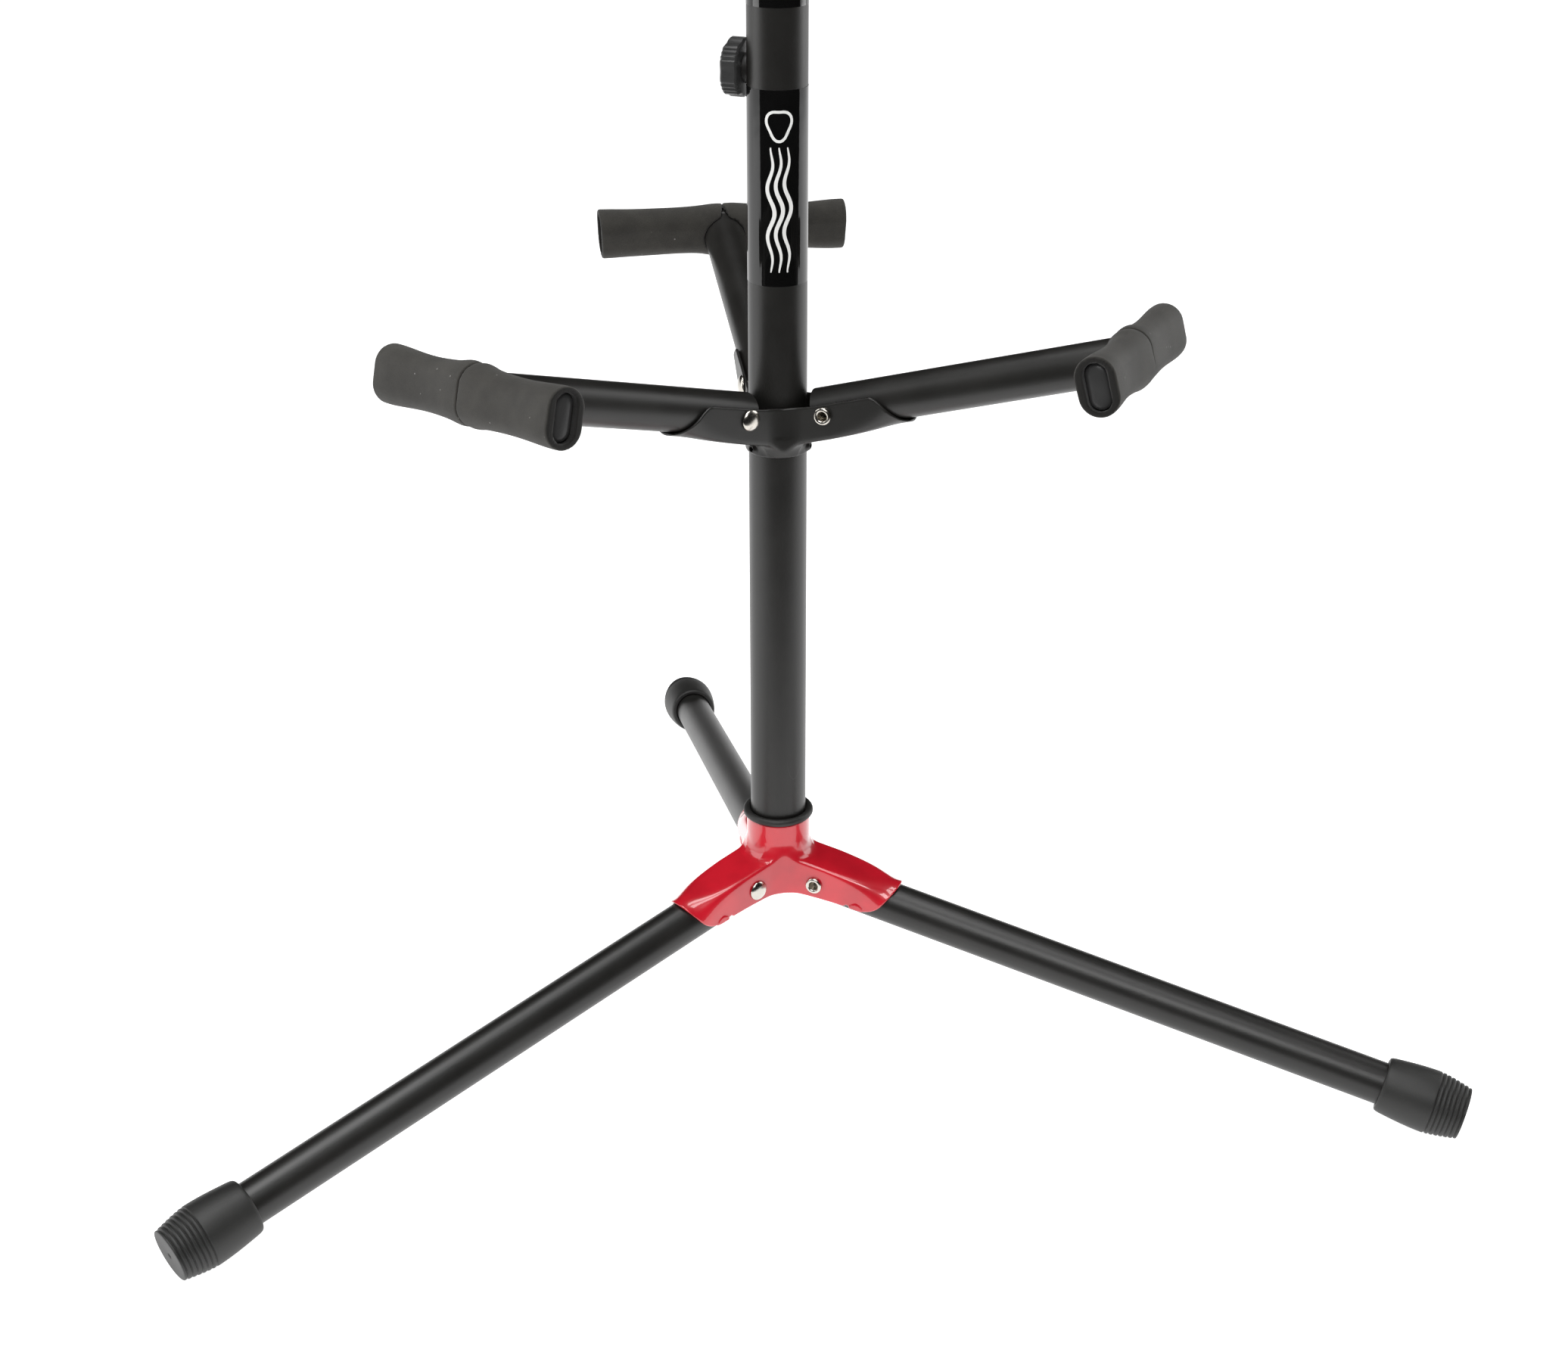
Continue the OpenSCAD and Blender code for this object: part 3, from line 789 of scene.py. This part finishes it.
class BaseHub:
    """The red pressing that holds the legs: a collar and three arched channels in one sheet."""

    roof_end: float = 77.5
    skirt_end: float = 67.0
    skirt: float = 5.0
    web_low: float = 11.0

    def field(self, points: np.ndarray) -> np.ndarray:
        """Distance to the pressing.

        The outside is the union of the collar and the arches, with fillets. The sheet is what
        lies within its thickness inside that, cut by the rim, the skirt and the sloped ends.
        """
        spokes = Spokes(PLAN.leg_z, -PLAN.leg_slope)
        radius, z, s, t, h, s2, t2, h2 = spokes.coordinates(points)
        flare = 0.55 * ramp(s, 70.0, 79.0) ** 2
        dimple = np.hypot(s - 57.0, h + self.skirt + 0.3)
        pressed = 0.55 * (1 - ramp(dimple, 3.9, 5.2))
        own = channel(s, t, h) - flare - pressed
        beside = channel(s2, t2, h2)
        pivot = np.hypot(s - PLAN.leg_pivot_s, h - PLAN.leg_pivot_h)
        outside = join(join(np.maximum(own, -s), np.maximum(beside, -s2), 9.0),
                       radius - PLAN.collar_r, 6.5)
        thick = PLAN.sheet + 0.65 * ramp(z, 6.0, 18.0)
        sheet = meet(outside, -(outside + thick), 0.5)
        lower = join(-self.web_low - z, -self.skirt - h, 7.0)
        notch = 1.6 - np.hypot(s - 51.0, h + self.skirt + 0.5)
        sheet = np.maximum(sheet, PLAN.rivet_hole - pivot)
        fall = math.hypot(self.roof_end - self.skirt_end, PLAN.channel_r + self.skirt)
        end = ((s - self.roof_end) * (PLAN.channel_r + self.skirt)
               - (h - PLAN.channel_r) * (self.roof_end - self.skirt_end)) / fall
        cut = meet(meet(end, lower, 9.0), z - PLAN.collar_up, 0.1)
        cut = meet(cut, notch, 0.6)
        return meet(sheet, cut, 1.1)

    def pieces(self) -> list[Piece]:
        """The pressing as one piece."""
        low = (-76.0, -54.0, PLAN.leg_z - 25.0)
        high = (76.0, 80.0, PLAN.leg_z + 36.0)
        surface = skin(self.field, low, high, 0.8)
        return [Piece("base_hub_pressing", surface, "stand", Slot.RED, ("base_hub",))]


class CradleHub:
    """The black pressing that holds the arms: three troughs round a bowl and a staked collar."""

    wall_h: float = 6.0
    web_top: float = 10.8
    wall_end: float = 61.0
    tip_end: float = 79.5
    tip_h: float = 12.4
    collar_r: float = 18.0
    collar_down: float = 18.6

    def field(self, points: np.ndarray) -> np.ndarray:
        """Distance to the pressing.

        The outside is the union of the troughs and the collar, with fillets. The wall's top
        falls from wall_h to -tip_h along half a cosine between wall_end and tip_end.
        """
        spokes = Spokes(PLAN.arm_z, PLAN.arm_slope)
        radius, z, s, t, h, s2, t2, h2 = spokes.coordinates(points)
        pivot = np.hypot(s - PLAN.arm_pivot_s, h)
        troughs = join(np.maximum(channel(s, t, -h), -s), np.maximum(channel(s2, t2, -h2), -s2), 10.0)
        collar = meet(radius - self.collar_r, z + 9.0, 1.0)
        outside = join(troughs, collar, 4.5)
        out = np.sqrt(np.maximum(radius ** 2 - t ** 2, 0))
        stake = np.hypot(np.hypot(t, z + 14.8), out - 17.4)
        outside = join(outside, stake - 3.1, 1.2)
        thick = PLAN.sheet - 0.35 * ramp(-z, 11.0, 15.0)
        sheet = meet(outside, -(outside + thick), 0.5)
        punch = 1.5 - np.hypot(np.hypot(t, z + 14.8), np.maximum(19.6 - out, 0))
        sheet = np.maximum(meet(sheet, punch, 0.6), PLAN.rivet_hole - pivot)
        u = np.clip((s - self.wall_end) / (self.tip_end - self.wall_end), 0, 1)
        fall = self.wall_h + self.tip_h
        top = self.wall_h - fall * (1 - np.cos(math.pi * u)) / 2
        slope = fall * math.pi / 2 * np.sin(math.pi * u) / (self.tip_end - self.wall_end)
        curve = np.where(s > self.wall_end - 12, (h - top) / np.sqrt(1 + slope ** 2), -99.0)
        upper = join(z - self.web_top, h - self.wall_h, 4.0)
        tip = s + 0.012 * t * t - self.tip_end - 0.8
        cut = np.maximum(meet(upper, curve, 0.3), np.maximum(tip, -self.collar_down - z))
        return meet(sheet, cut, 1.0)

    def pieces(self) -> list[Piece]:
        """The pressing as one piece."""
        low = (-78.0, -56.0, PLAN.arm_z - 21.0)
        high = (78.0, 81.0, PLAN.arm_z + 28.0)
        surface = skin(self.field, low, high, 0.8)
        return [Piece("cradle_hub_pressing", surface, "stand", Slot.POWDER, ("cradle_hub",))]


class Rivets:
    """Semi-tubular rivets: a domed head on one side and a rolled tail on the other."""

    head_r: float = 6.05
    head_arc: float = 0.43 * math.pi
    head_rise: float = 2.2
    rim: float = 0.75
    shank_r: float = 3.2

    def profile(self) -> np.ndarray:
        """Outline of (radius, height) from the head's top to the bottom of the tail's bore."""
        wall, arc = PLAN.rivet_wall, self.head_arc
        u = np.linspace(0, arc, 9)
        crown = (np.cos(u) - math.cos(arc)) / (1 - math.cos(arc))
        dome = coords(self.head_r * np.sin(u) / math.sin(arc),
                      wall + self.rim + self.head_rise * crown)
        under = eased([(self.head_r, wall + self.rim), (6.1, wall + 0.3), (5.6, wall + 0.15),
                       (self.shank_r, wall), (self.shank_r, -wall), (4.9, -wall - 0.15)], 0.25)[1:]
        a = np.linspace(-0.25 * math.pi, 1.0 * math.pi, 12)
        roll = coords(3.85 + 1.2 * np.cos(a), -wall - 0.95 - 1.0 * np.sin(a))
        bore = np.array([(2.65, -wall + 0.1), (2.35, -wall + 0.7), (2.3, -wall + 7.0),
                         (0.9, -wall + 8.2), (0.0, -wall + 8.3)])
        return np.concatenate([dome, under, roll, bore])

    def group(self, axes: Callable[[float], Axes], s: float, h: float) -> Surface:
        """Three rivets, one across each leg or arm."""
        shape = lathe(self.profile()[::-1], 56)
        x, y, z = shape.points.T
        turned = Surface(coords(x + s, z, h - y), shape.faces)
        return merged([turned.placed(axes(a.value)) for a in Azimuth])

    def pieces(self) -> list[Piece]:
        """The leg rivets and the arm rivets."""
        legs = self.group(leg_axes, PLAN.leg_pivot_s, PLAN.leg_pivot_h)
        arms = self.group(arm_axes, PLAN.arm_pivot_s, 0.0)
        return [
            Piece("leg_rivets_formed", legs, "stand", Slot.NICKEL, ("leg_rivets",)),
            Piece("arm_rivets_formed", arms, "stand", Slot.NICKEL, ("arm_rivets",)),
        ]


class Feet:
    """Moulded rubber feet: a swelling barrel that ends in a tapered, grooved nose.

    The radii are shares of the tube's radius, and barrel is a share of the foot's length.
    """

    ribs: int = 7
    mouth_r: float = 1.33
    belly_r: float = 1.48
    nose_r: float = 1.20
    barrel: float = 0.6
    lip: float = 4.0

    def profile(self) -> np.ndarray:
        """Outline of (radius, s from the mouth), from the socket's floor to the nose's middle."""
        r, length = PLAN.tube_r, PLAN.foot_len
        mouth_r, belly_r, nose_r = self.mouth_r * r, self.belly_r * r, self.nose_r * r
        barrel_end = self.barrel * length
        floor = length - PLAN.foot_floor + 0.1
        mouth = eased([(0.0, floor), (r + 0.12, floor), (r + 0.12, 0.9), (r + 0.7, 0.0),
                       (1.24 * r, 0.0), (1.30 * r, 1.6), (mouth_r, self.lip)], 0.9, 5)
        u = np.linspace(0.1, 1, 18)
        barrel = coords(mouth_r + (belly_r - mouth_r) * np.sin(u * math.pi / 2),
                        self.lip + (barrel_end - self.lip) * u)
        v = np.linspace(0, 1, 14 * self.ribs + 1)[1:]
        envelope = belly_r + (nose_r - belly_r) * np.maximum(v - 0.05, 0) ** 1.35
        phase = (v * self.ribs) % 1.0
        groove = np.exp(-((phase - 0.5) / 0.16) ** 2)
        nose = coords(envelope - 0.75 * groove - 0.15 * phase, barrel_end + 0.39 * length * v)
        edge = nose[-1][0]
        face = eased([nose[-1], (edge - 0.3, length - 0.15), (edge - 1.4, length),
                      (9.0, length - 0.1), (2.0, length - 0.15), (1.2, length - 0.7),
                      (0.0, length - 0.8)], 0.6)[1:]
        return np.concatenate([mouth, barrel, nose, face])

    def pieces(self) -> list[Piece]:
        """One foot on each leg."""
        shape = lathe(self.profile(), 96)
        x, y, z = shape.points.T
        local = Surface(coords(z + PLAN.leg_reach - PLAN.foot_len, x, y), shape.faces)
        made = []
        for azimuth in Azimuth:
            leg = azimuth.name.lower()
            made.append(Piece(f"{leg}_foot_moulded", local.placed(leg_axes(azimuth.value)),
                              f"{leg}_leg", Slot.RUBBER, (f"{leg}_foot",)))
        return made


def bar_oval(x: np.ndarray, h: np.ndarray, trim: float = 0.0) -> np.ndarray:
    """Distance to the middle line of a cross bar's oval, which trim shortens at both ends."""
    flat = (PLAN.bar_tall - PLAN.bar_thick) / 2 - trim
    return np.hypot(x, np.maximum(np.abs(h) - flat, 0))


class Sleeves:
    """Foam sleeves on the cross bars, each pushed over half a bar and cut round the arm."""

    grid: float = 1.15

    def outer(self, local: np.ndarray, side: int, seed: int) -> np.ndarray:
        """Distance to a sleeve's outer skin: an oval with a waist between its swollen ends.

        Args:
            local: N by 3 positions on the arm's axes.
            side: +1 or -1, the side of the arm that the sleeve is on.
            seed: Picks its unevenness.
        """
        x, t, h = local[:, 0] - PLAN.bar_s, local[:, 1] * side, local[:, 2]
        v = t / PLAN.foam_len
        waist = 1.25 * np.sin(math.pi * np.clip((v - 0.06) / 0.86, 0, 1)) ** 1.4
        swell = 1.1 * np.exp(-((t - 6.0) / 6.5) ** 2) * ramp(-x, -9.0, 3.0)
        round_r = PLAN.bar_thick / 2 + PLAN.foam_wall + 0.35 - waist + swell
        return bar_oval(x, h, 1.5) - round_r - 0.28 * waves(local, seed, 60.0)

    def field(self, side: int, seed: int) -> Field:
        """Distance to one sleeve, as a function of positions on the arm's axes.

        It is the outer skin less the bar's oval and the arm's round, between a seam that opens
        towards the arm and an end that was cut a little out of square.
        """
        rng = np.random.default_rng(seed)
        tilt = rng.uniform(-0.05, 0.05, 2)

        def distance(local: np.ndarray) -> np.ndarray:
            """The distance at N by 3 positions."""
            x, t, h = local[:, 0] - PLAN.bar_s, local[:, 1] * side, local[:, 2]
            skin_d = self.outer(local, side, seed)
            bar = bar_oval(x, h) - PLAN.bar_thick / 2 - 0.2
            arm = np.maximum(np.hypot(t, h) - PLAN.tube_r - 0.2, x)
            opening = 0.3 + 2.6 * ramp(-x, -3.0, 11.0) * ramp(h, 2.0, 15.0)
            end = t - PLAN.foam_len - 0.25 + tilt[0] * x + tilt[1] * h
            solid = meet(meet(skin_d, end, 1.5), opening - t, 1.2)
            return meet(meet(solid, -bar, 0.6), -arm, 0.8)

        return distance

    def sleeve(self, azimuth: Azimuth, side: int, seed: int) -> Surface:
        """One sleeve in the row frame, with the value "cut" where its inside shows."""
        reach = PLAN.foam_len + 3.0
        near, far = sorted((-1.5 * side, reach * side))
        half_h = PLAN.bar_tall / 2 + PLAN.foam_wall + 3.0
        half_x = PLAN.bar_thick / 2 + PLAN.foam_wall + 3.0
        surface = skin(self.field(side, seed), (PLAN.bar_s - half_x, near, -half_h),
                       (PLAN.bar_s + half_x, far, half_h), self.grid)
        depth = -self.outer(surface.points, side, seed)
        beyond = surface.points[:, 1] * side
        end_face = ramp(beyond, PLAN.foam_len - 1.6, PLAN.foam_len - 0.6)
        surface.value = ramp(depth, 0.15, 0.7) * np.maximum(end_face, ramp(depth, 1.0, 2.0))
        return surface.placed(bar_axes(azimuth.value))

    def pieces(self) -> list[Piece]:
        """Two sleeves on each cross bar."""
        made = []
        for n, azimuth in enumerate(Azimuth):
            arm = azimuth.name.lower()
            for side, which in ((1, "inner"), (-1, "outer")):
                surface = self.sleeve(azimuth, side, 20 + 2 * n + (side > 0))
                made.append(Piece(f"{arm}_{which}_sleeve_foam", surface, f"{arm}_arm", Slot.FOAM,
                                  (f"{arm}_{which}_sleeve",), foam=0.9))
        return made


class BarPlugs:
    """Moulded oval plugs in the cross bars' ends."""

    def pieces(self) -> list[Piece]:
        """Both plugs of each bar as one piece."""
        half = PLAN.bar_len / 2
        wall = 1.25
        profile = eased([(wall, half - 8.0), (wall, half), (0.3, half + 0.05), (0.35, half + 0.9),
                         (1.6, half + 1.7), (3.6, half + 2.3)], 0.7, 5)
        shape = oval_loft(PLAN.bar_tall, PLAN.bar_thick, profile)
        x, y, z = shape.points.T
        made = []
        for azimuth in Azimuth:
            ends = []
            for side in (1, -1):
                local = coords(PLAN.bar_s + y * side, z * side, x)
                ends.append(Surface(local, shape.faces).placed(bar_axes(azimuth.value)))
            arm = azimuth.name.lower()
            made.append(Piece(f"{arm}_bar_plugs_moulded", merged(ends), f"{arm}_arm", Slot.PLASTIC,
                              (f"{arm}_bar_plugs",)))
        return made


class YokeFoams:
    """Foam tubes on the neck yokes, following the bent rods from tip to tip."""

    radius: float = 8.0

    def path(self) -> tuple[np.ndarray, np.ndarray]:
        """Centres and sideways vectors of the tube: a half circle, two prongs and two hooks."""
        p = PLAN
        u = np.linspace(0, 1, 26)
        a = u * math.pi / 2
        up = coords(p.yoke_prong + p.yoke_hook_r, -p.yoke_arc_r,
                    p.yoke_hook_r + (p.yoke_hook_up + 3) * (1 - u))
        hook = coords(p.yoke_prong + p.yoke_hook_r * np.cos(a), -p.yoke_arc_r,
                      p.yoke_hook_r * (1 - np.sin(a)))
        prong = coords(p.yoke_prong * (1 - u), -p.yoke_arc_r, 0.0)
        quarter = coords(-p.yoke_arc_r * np.sin(a), -p.yoke_arc_r * np.cos(a), 0.0)
        half = np.concatenate([up[::5], hook[1:], prong[1::3], quarter[1:]])
        across = coords(0.0 * u, -1.0, 0.0)
        arc_across = coords(-np.sin(a), -np.cos(a), 0.0)
        sides = np.concatenate([across[::5], across[1:], across[1::3], arc_across[1:]])
        flip = np.array([1.0, -1.0, 1.0])
        centres = np.concatenate([half, half[-2::-1] * flip])
        return centres + np.array([p.yoke_centre, 0, 0]), np.concatenate([sides, sides[-2::-1] * flip])

    def surface(self, seed: int) -> Surface:
        """One foam tube on its local axes, rounded at both tips."""
        centres, across = self.path()
        steps = np.linalg.norm(np.diff(centres, axis=0), axis=1)
        along = np.concatenate([[0], np.cumsum(steps)])
        edge = np.minimum(along, along[-1] - along)
        tip = 1 - 0.22 * (1 - np.clip(edge / 3.0, 0, 1)) ** 2
        radius = self.radius * tip + 0.22 * waves(centres, seed, 45.0)
        tube = sweep(centres, across, radius, 32)
        value = np.zeros(len(tube.points))
        value[-2:] = 1.0
        return Surface(tube.points, tube.faces, None, value)

    def pieces(self) -> list[Piece]:
        """One foam tube on each yoke."""
        made = []
        for n, yoke in enumerate(YokeAzimuth):
            axes = Axes((0.0, 0.0, PLAN.yoke_z), yoke.value, PLAN.yoke_tilt)
            name = yoke.name.lower()
            made.append(Piece(f"{name}_yoke_tube_foam", self.surface(50 + n).placed(axes), "upper",
                              Slot.FOAM, (f"{name}_yoke_foam",), foam=0.9))
        return made


class MastTrim:
    """The rubber ring on the base hub, and the printed mark on the mast's film."""

    def ring(self) -> Surface:
        """A thick bead with a thinner lip inside it, turned about the mast."""
        base = PLAN.leg_z + PLAN.collar_up
        a = np.linspace(-0.5 * math.pi, 0.78 * math.pi, 22)
        bead = coords(PLAN.mast_r + 2.35 + 2.3 * np.cos(a), base + 2.3 + 2.25 * np.sin(a))
        b = np.linspace(0.15 * math.pi, 1.0 * math.pi, 10)
        lip = coords(PLAN.mast_r + 0.85 + 0.8 * np.cos(b), base + 2.6 + 1.0 * np.sin(b))
        foot = np.array([(PLAN.mast_r + 0.05, base), tuple(bead[0])])
        return lathe(np.concatenate([bead, lip, foot]), 96)

    def stroke(self, line: np.ndarray, width: np.ndarray) -> Surface:
        """A flat stroke wrapped round the mast.

        Args:
            line: N by 2 positions: millimetres round the mast, and height.
            width: N half widths.
        Returns:
            A strip on the cylinder: (r cos, r sin, z) with the angle = position / r.
        """
        direction = np.gradient(line, axis=0)
        direction /= np.linalg.norm(direction, axis=1)[:, None]
        side = coords(-direction[:, 1], direction[:, 0])
        v = np.linspace(1, -1, 7)[None, :, None]
        flat = line[:, None] + side[:, None] * width[:, None, None] * v
        radius = PLAN.mast_r + 0.19
        angle = math.radians(-97.0) + flat[..., 0] / radius
        points = coords(radius * np.cos(angle), radius * np.sin(angle), flat[..., 1])
        return rings(points, close_columns=False)

    def mark(self) -> Surface:
        """A generic mark: a rounded pick over three strings that swing and settle."""
        top = PLAN.leg_z + 464.0
        a = np.linspace(0, 2 * math.pi, 73)
        r = 6.6 * (1 + 0.13 * np.cos(3 * (a + math.pi / 2)))
        pick = coords(r * np.cos(a), top - 9.0 + 1.18 * r * np.sin(a))
        parts = [self.stroke(pick, np.full(len(a), 0.75))]
        u = np.linspace(0, 1, 90)
        for n in (-1, 0, 1):
            swing = 2.1 * np.sin(u * math.pi * 5 + 0.35 * n) * np.sin(u * math.pi) ** 0.6
            line = coords(n * 4.6 + swing, top - 21.0 - 68.0 * u)
            parts.append(self.stroke(line, 0.35 + 0.75 * np.sin(u * math.pi) ** 0.7))
        return merged(parts)

    def pieces(self, palette: Palette) -> list[Piece]:
        """The ring and the mark."""
        return [
            Piece("mast_ring_moulded", self.ring(), "stand", Slot.RUBBER, ("mast_ring",)),
            Piece("label_mark", self.mark(), "stand", Slot.FILM, material=palette.ink),
        ]


class Knob:
    """The clamp's grip: five lobes with fine grooves and a dished face."""

    lobes: int = 5

    def pieces(self) -> list[Piece]:
        """The grip as one piece.

        Its outline is r = knob_r - 1.5 ((1 + cos 5a) / 2)^2 less 0.55 mm grooves on the lobes.
        """
        a = np.linspace(0, 2 * math.pi, 360, endpoint=False)
        hollow = ((1 + np.cos(self.lobes * a)) / 2) ** 2
        grooves = (0.5 - 0.5 * np.cos(36 * a)) * (1 - ramp(hollow, 0.02, 0.22))
        outline = PLAN.knob_r - 1.5 * hollow - 0.9 * grooves
        profile = eased([(0.1, 0.2), (0.92, 0.0), (1.0, 1.0), (1.0, 8.4), (0.93, 9.5), (0.72, 9.3),
                         (0.5, 8.0), (0.02, 7.8)], 0.12)
        profile[:, 1] += PLAN.knob_face
        share = profile[:, 0][:, None]
        r = share * (outline * ramp(share, 0.3, 0.9) + 15.2 * (1 - ramp(share, 0.3, 0.9)))
        disc = capped(coords(r * np.cos(a), r * np.sin(a), profile[:, 1][:, None]))
        x, y, z = disc.points.T
        axes = Axes((0.0, 0.0, PLAN.clamp_z), PLAN.clamp_azimuth)
        placed = Surface(coords(z, x, y), disc.faces).placed(axes)
        return [Piece("clamp_grip", placed, "clamp", Slot.PLASTIC, ("clamp_knob",))]


class CadFinishes:
    """Gives the CAD nodes that stay in sight their finishes."""

    def apply(self, palette: Palette) -> None:
        """Assigns each shown node the material of its slot in the record."""
        slots = {s["node"]: Slot(s["material_slot"]) for s in frame["record"]["subparts"]}
        for name, node in frame["nodes"].items():
            if not node.hide_render:
                node.data.materials.clear()
                node.data.materials.append(palette[slots[name]])
                log.info("%s keeps its CAD shape, in %s", name, slots[name].value)


# ---- Studio ---------------------------------------------------------------------------


@dataclass(frozen=True)
class Softbox:
    """A rectangular soft light, aimed at a point; sizes and places in metres."""

    name: str
    at: tuple[float, float, float]
    aim: tuple[float, float, float]
    size: tuple[float, float]
    power: float

    def build(self) -> None:
        """Adds the light."""
        lamp = bpy.data.lights.new(self.name, "AREA")
        lamp.shape = "RECTANGLE"
        lamp.size, lamp.size_y = self.size
        lamp.energy = self.power
        made = bpy.data.objects.new(self.name, lamp)
        way = np.array(self.aim) - np.array(self.at)
        made.location = self.at
        flat = math.hypot(way[0], way[1])
        made.rotation_euler = (math.atan2(flat, -way[2]), 0.0, math.atan2(-way[0], way[1]))
        bpy.context.scene.collection.objects.link(made)


SOFTBOXES: tuple[Softbox, ...] = (
    Softbox("left wall", (-2.2, 0.2, 1.2), (0, 0, 0.45), (1.4, 2.2), 22.0),
    Softbox("right wall", (2.2, 0.5, 1.2), (0, 0, 0.45), (1.4, 2.2), 22.0),
    Softbox("top panel", (-0.2, 0.0, 2.6), (0, 0, 0.3), (1.6, 1.3), 42.0),
    Softbox("front panel", (-0.5, -1.9, 2.3), (0, 0, 0.4), (1.4, 0.9), 30.0),
)


class Studio:
    """A plain pale floor, soft lights and the camera."""

    lens: float = 55.78
    sensor: float = 36.0
    camera_xy: tuple[float, float] = (-0.2255, -1.2829)
    camera_up: float = 0.7378
    pitch: float = 64.888
    heading: float = -10.123

    def build(self) -> None:
        """Adds them all to the scene."""
        scene = bpy.context.scene
        g = Graph("pale floor")
        g.set(Base_Color=(0.55, 0.55, 0.55, 1.0), Roughness=0.9, Specular_IOR_Level=0.1,
              Emission_Color=(1.0, 1.0, 1.0, 1.0), Emission_Strength=1.0)
        for name, middle, mirrored in (("rear_floor", 11.5, True), ("front_floor", -12.5, False)):
            bpy.ops.mesh.primitive_plane_add(size=24.0, location=(0.0, middle, 0.0))
            floor = bpy.context.object
            floor.name = name
            floor.visible_glossy = mirrored
            floor.data.materials.append(g.material)
        for box in SOFTBOXES:
            box.build()
        world = bpy.data.worlds.new("studio")
        scene.world = world
        world.use_nodes = True
        world.node_tree.nodes["Background"].inputs["Color"].default_value = (1.0, 1.0, 1.0, 1.0)
        world.node_tree.nodes["Background"].inputs["Strength"].default_value = 0.85
        world.cycles_visibility.glossy = world.cycles_visibility.diffuse = False
        scene.view_settings.view_transform = "Standard"
        lens = bpy.data.cameras.new("camera")
        lens.lens, lens.sensor_width, lens.sensor_fit = self.lens, self.sensor, "HORIZONTAL"
        camera = bpy.data.objects.new("camera", lens)
        camera.location = (*self.camera_xy, PLAN.leg_z * MM + self.camera_up)
        camera.rotation_euler = (math.radians(self.pitch), 0.0, math.radians(self.heading))
        scene.collection.objects.link(camera)
        scene.camera = camera


def main() -> None:
    """Builds every piece, the finishes and the studio."""
    logging.basicConfig(level=logging.INFO, format="%(name)s: %(message)s")
    palette = Palette()
    makers = (BaseHub(), CradleHub(), Rivets(), Feet(), Sleeves(), BarPlugs(), YokeFoams(), Knob())
    pieces = [piece for maker in makers for piece in maker.pieces()]
    for piece in pieces + MastTrim().pieces(palette):
        piece.build(palette)
    CadFinishes().apply(palette)
    Studio().build()


if __name__ == "__main__":
    main()
